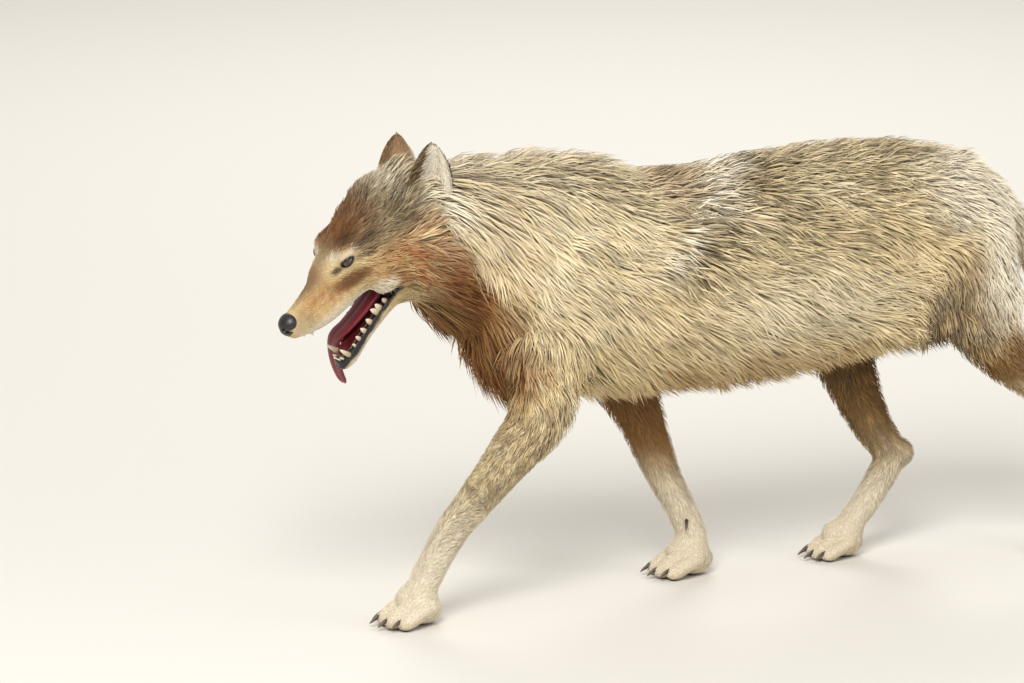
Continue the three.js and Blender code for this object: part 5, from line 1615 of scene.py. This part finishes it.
def aim_at(ob, target):
    """Turns an object's -Z to a place, with +Y as near up as can be."""
    way = Vector(target) - Vector(ob.location)
    ob.rotation_euler = way.to_track_quat("-Z", "Y").to_euler()


# ---------------------------------------------------------------- the add-on


def colour_property(name, description, text):
    """A colour that a user may pick, whose default is an sRGB hex colour."""
    return bpy.props.FloatVectorProperty(
        name=name, description=description, default=hex_colour(text)[:3], size=3, min=0.0, max=1.0, subtype="COLOR")


class WolfSizes(bpy.types.PropertyGroup):
    """Sizes and counts of the skin and the coat."""

    skin_step: bpy.props.FloatProperty(
        name="Skin grid", description="Spacing of the grid that the skin is drawn on", default=0.0061,
        min=0.004, max=0.02, precision=4, unit="LENGTH")
    seed: bpy.props.IntProperty(name="Seed", description="Seed of the coat's random numbers", default=7, min=0)
    tufts: bpy.props.IntProperty(
        name="Tufts", description="Tufts of the coat, not counting the ears' own", default=103000,
        min=1000, max=110000)
    long_pieces: bpy.props.IntProperty(
        name="Long pieces", description="Meshes that the longer tufts are split over", default=6, min=1)
    short_pieces: bpy.props.IntProperty(
        name="Short pieces", description="Meshes that the shorter tufts are split over", default=3, min=1)
    length: bpy.props.FloatProperty(
        name="Tuft length", description="Share of the coat's usual length", default=1.0, min=0.3, max=1.5,
        subtype="FACTOR")
    width: bpy.props.FloatProperty(
        name="Tuft width", description="Share of the tufts' usual width", default=1.0, min=0.3, max=2.0,
        subtype="FACTOR")


class WolfColours(bpy.types.PropertyGroup):
    """Colours of the coat and of the bare parts."""

    cream: colour_property("Cream", "Ground colour of the sides", "e1cb9b")
    gold: colour_property("Gold", "Hair of the belly's edge and the muzzle", "ab7c3a")
    rust: colour_property("Rust", "Hair of the throat, cheeks and forehead", "a06236")
    grey: colour_property("Grey", "Grizzled hair of the back and crown", "96876d")
    white: colour_property("White", "Hair of the lips, feet and rump", "f4ead4")
    dark: colour_property("Dark", "Dark locks and flecks", "3d2e20")
    tip: colour_property("Hair tips", "Tips of the grizzled hair", "2b2521")
    # Darkened as painted shade from the brow.
    iris: colour_property("Iris", "Lit part of the iris", "6b4719")
    eyelid: colour_property("Eyelids", "Bare rims of the lids", "171212")
    nose: colour_property("Nose", "Leather of the nose", "0d0c0d")
    lips: colour_property("Lips", "Bare lips", "141113")
    mouth: colour_property("Mouth", "Inside of the mouth", "661e20")
    tongue: colour_property("Tongue", "Upper side of the tongue", "8c2d38")
    enamel: colour_property("Teeth", "Enamel at the tip of a tooth", "ddd2bb")
    horn: colour_property("Claws", "Horn at the tip of a claw", "6b5a49")


class WolfStage(bpy.types.PropertyGroup):
    """The studio's lights and floor, and the camera."""

    azimuth: bpy.props.FloatProperty(
        name="Azimuth", description="Where the camera stands round the wolf", default=math.radians(-24.0),
        unit="ROTATION")
    elevation: bpy.props.FloatProperty(
        name="Elevation", description="How far the camera looks down", default=math.radians(13.0), unit="ROTATION")
    distance: bpy.props.FloatProperty(
        name="Distance", description="From the camera to the place it aims at", default=12.0, unit="LENGTH")
    aim: bpy.props.FloatVectorProperty(
        name="Aim", description="Place that the camera aims at", default=(-0.3219, 0.0, 0.4464), size=3,
        subtype="TRANSLATION", unit="LENGTH")
    lens: bpy.props.FloatProperty(name="Lens", description="Focal length", default=255.2, unit="CAMERA")
    key_power: bpy.props.FloatProperty(name="Key light", description="Power", default=440.0, unit="POWER")
    fill_power: bpy.props.FloatProperty(name="Fill light", description="Power", default=60.0, unit="POWER")
    rim_power: bpy.props.FloatProperty(name="Rim light", description="Power", default=120.0, unit="POWER")
    floor: colour_property("Floor", "Colour of the floor", "dcd8d0")
    surround: colour_property("Surround", "Colour of the light from all round", "eceae6")


class WOLF_OT_skin(bpy.types.Operator):
    """Build the skin and its bare lips, mouth and soles, and ready the materials of skin and hair"""

    bl_idname = "wolf.skin"
    bl_label = "Skin"

    def execute(self, context):
        build_skin(context.scene.wolf_sizes.skin_step * 1000.0)
        return {"FINISHED"}


class WOLF_OT_ears(bpy.types.Operator):
    """Build both ears and the hair on them"""

    bl_idname = "wolf.ears"
    bl_label = "Ears"

    def execute(self, context):
        build_ears()
        return {"FINISHED"}


class WOLF_OT_eyes(bpy.types.Operator):
    """Build both eyes and the rims of their lids"""

    bl_idname = "wolf.eyes"
    bl_label = "Eyes and lids"

    def execute(self, context):
        build_eyes()
        build_lids()
        return {"FINISHED"}


class WOLF_OT_nose(bpy.types.Operator):
    """Build the nose pad"""

    bl_idname = "wolf.nose"
    bl_label = "Nose"

    def execute(self, context):
        build_nose()
        return {"FINISHED"}


class WOLF_OT_tongue(bpy.types.Operator):
    """Build the tongue"""

    bl_idname = "wolf.tongue"
    bl_label = "Tongue"

    def execute(self, context):
        build_tongue()
        return {"FINISHED"}


class WOLF_OT_teeth(bpy.types.Operator):
    """Build the teeth of both jaws"""

    bl_idname = "wolf.teeth"
    bl_label = "Teeth"

    def execute(self, context):
        build_teeth()
        return {"FINISHED"}


class WOLF_OT_claws(bpy.types.Operator):
    """Build the claws and dewclaws"""

    bl_idname = "wolf.claws"
    bl_label = "Claws"

    def execute(self, context):
        build_claws()
        return {"FINISHED"}


class WOLF_OT_coat(bpy.types.Operator):
    """Build the coat over the skin"""

    bl_idname = "wolf.coat"
    bl_label = "Coat"

    def execute(self, context):
        build_coat(context.scene.wolf_sizes)
        return {"FINISHED"}


class WOLF_OT_stage(bpy.types.Operator):
    """Build the floor, the lights and the camera"""

    bl_idname = "wolf.stage"
    bl_label = "Stage"

    def execute(self, context):
        build_stage(context.scene.wolf_stage)
        return {"FINISHED"}


OPERATORS = (WOLF_OT_skin, WOLF_OT_ears, WOLF_OT_eyes, WOLF_OT_nose, WOLF_OT_tongue, WOLF_OT_teeth, WOLF_OT_claws,
             WOLF_OT_coat, WOLF_OT_stage)


class WOLF_PT_panel(bpy.types.Panel):
    """The wolf's settings, and a button for each piece in the order they are built"""

    bl_idname = "WOLF_PT_panel"
    bl_label = "Grey wolf"
    bl_space_type = "VIEW_3D"
    bl_region_type = "UI"
    bl_category = "Wolf"

    def draw(self, context):
        for kind in OPERATORS:
            self.layout.operator(kind.bl_idname)
        for name, group in GROUPS.items():
            box = self.layout.box()
            for key in group.__annotations__:
                box.prop(getattr(context.scene, name), key)


GROUPS = {"wolf_sizes": WolfSizes, "wolf_colours": WolfColours, "wolf_stage": WolfStage}
CLASSES = (*GROUPS.values(), *OPERATORS, WOLF_PT_panel)


def register():
    for kind in CLASSES:
        bpy.utils.register_class(kind)
    for name, group in GROUPS.items():
        setattr(bpy.types.Scene, name, bpy.props.PointerProperty(type=group))


def unregister():
    for name in GROUPS:
        delattr(bpy.types.Scene, name)
    for kind in reversed(CLASSES):
        bpy.utils.unregister_class(kind)


def main():
    register()
    bpy.ops.wolf.skin()
    bpy.ops.wolf.ears()
    bpy.ops.wolf.eyes()
    bpy.ops.wolf.nose()
    bpy.ops.wolf.tongue()
    bpy.ops.wolf.teeth()
    bpy.ops.wolf.claws()
    bpy.ops.wolf.coat()
    bpy.ops.wolf.stage()


if __name__ == "__main__":
    main()
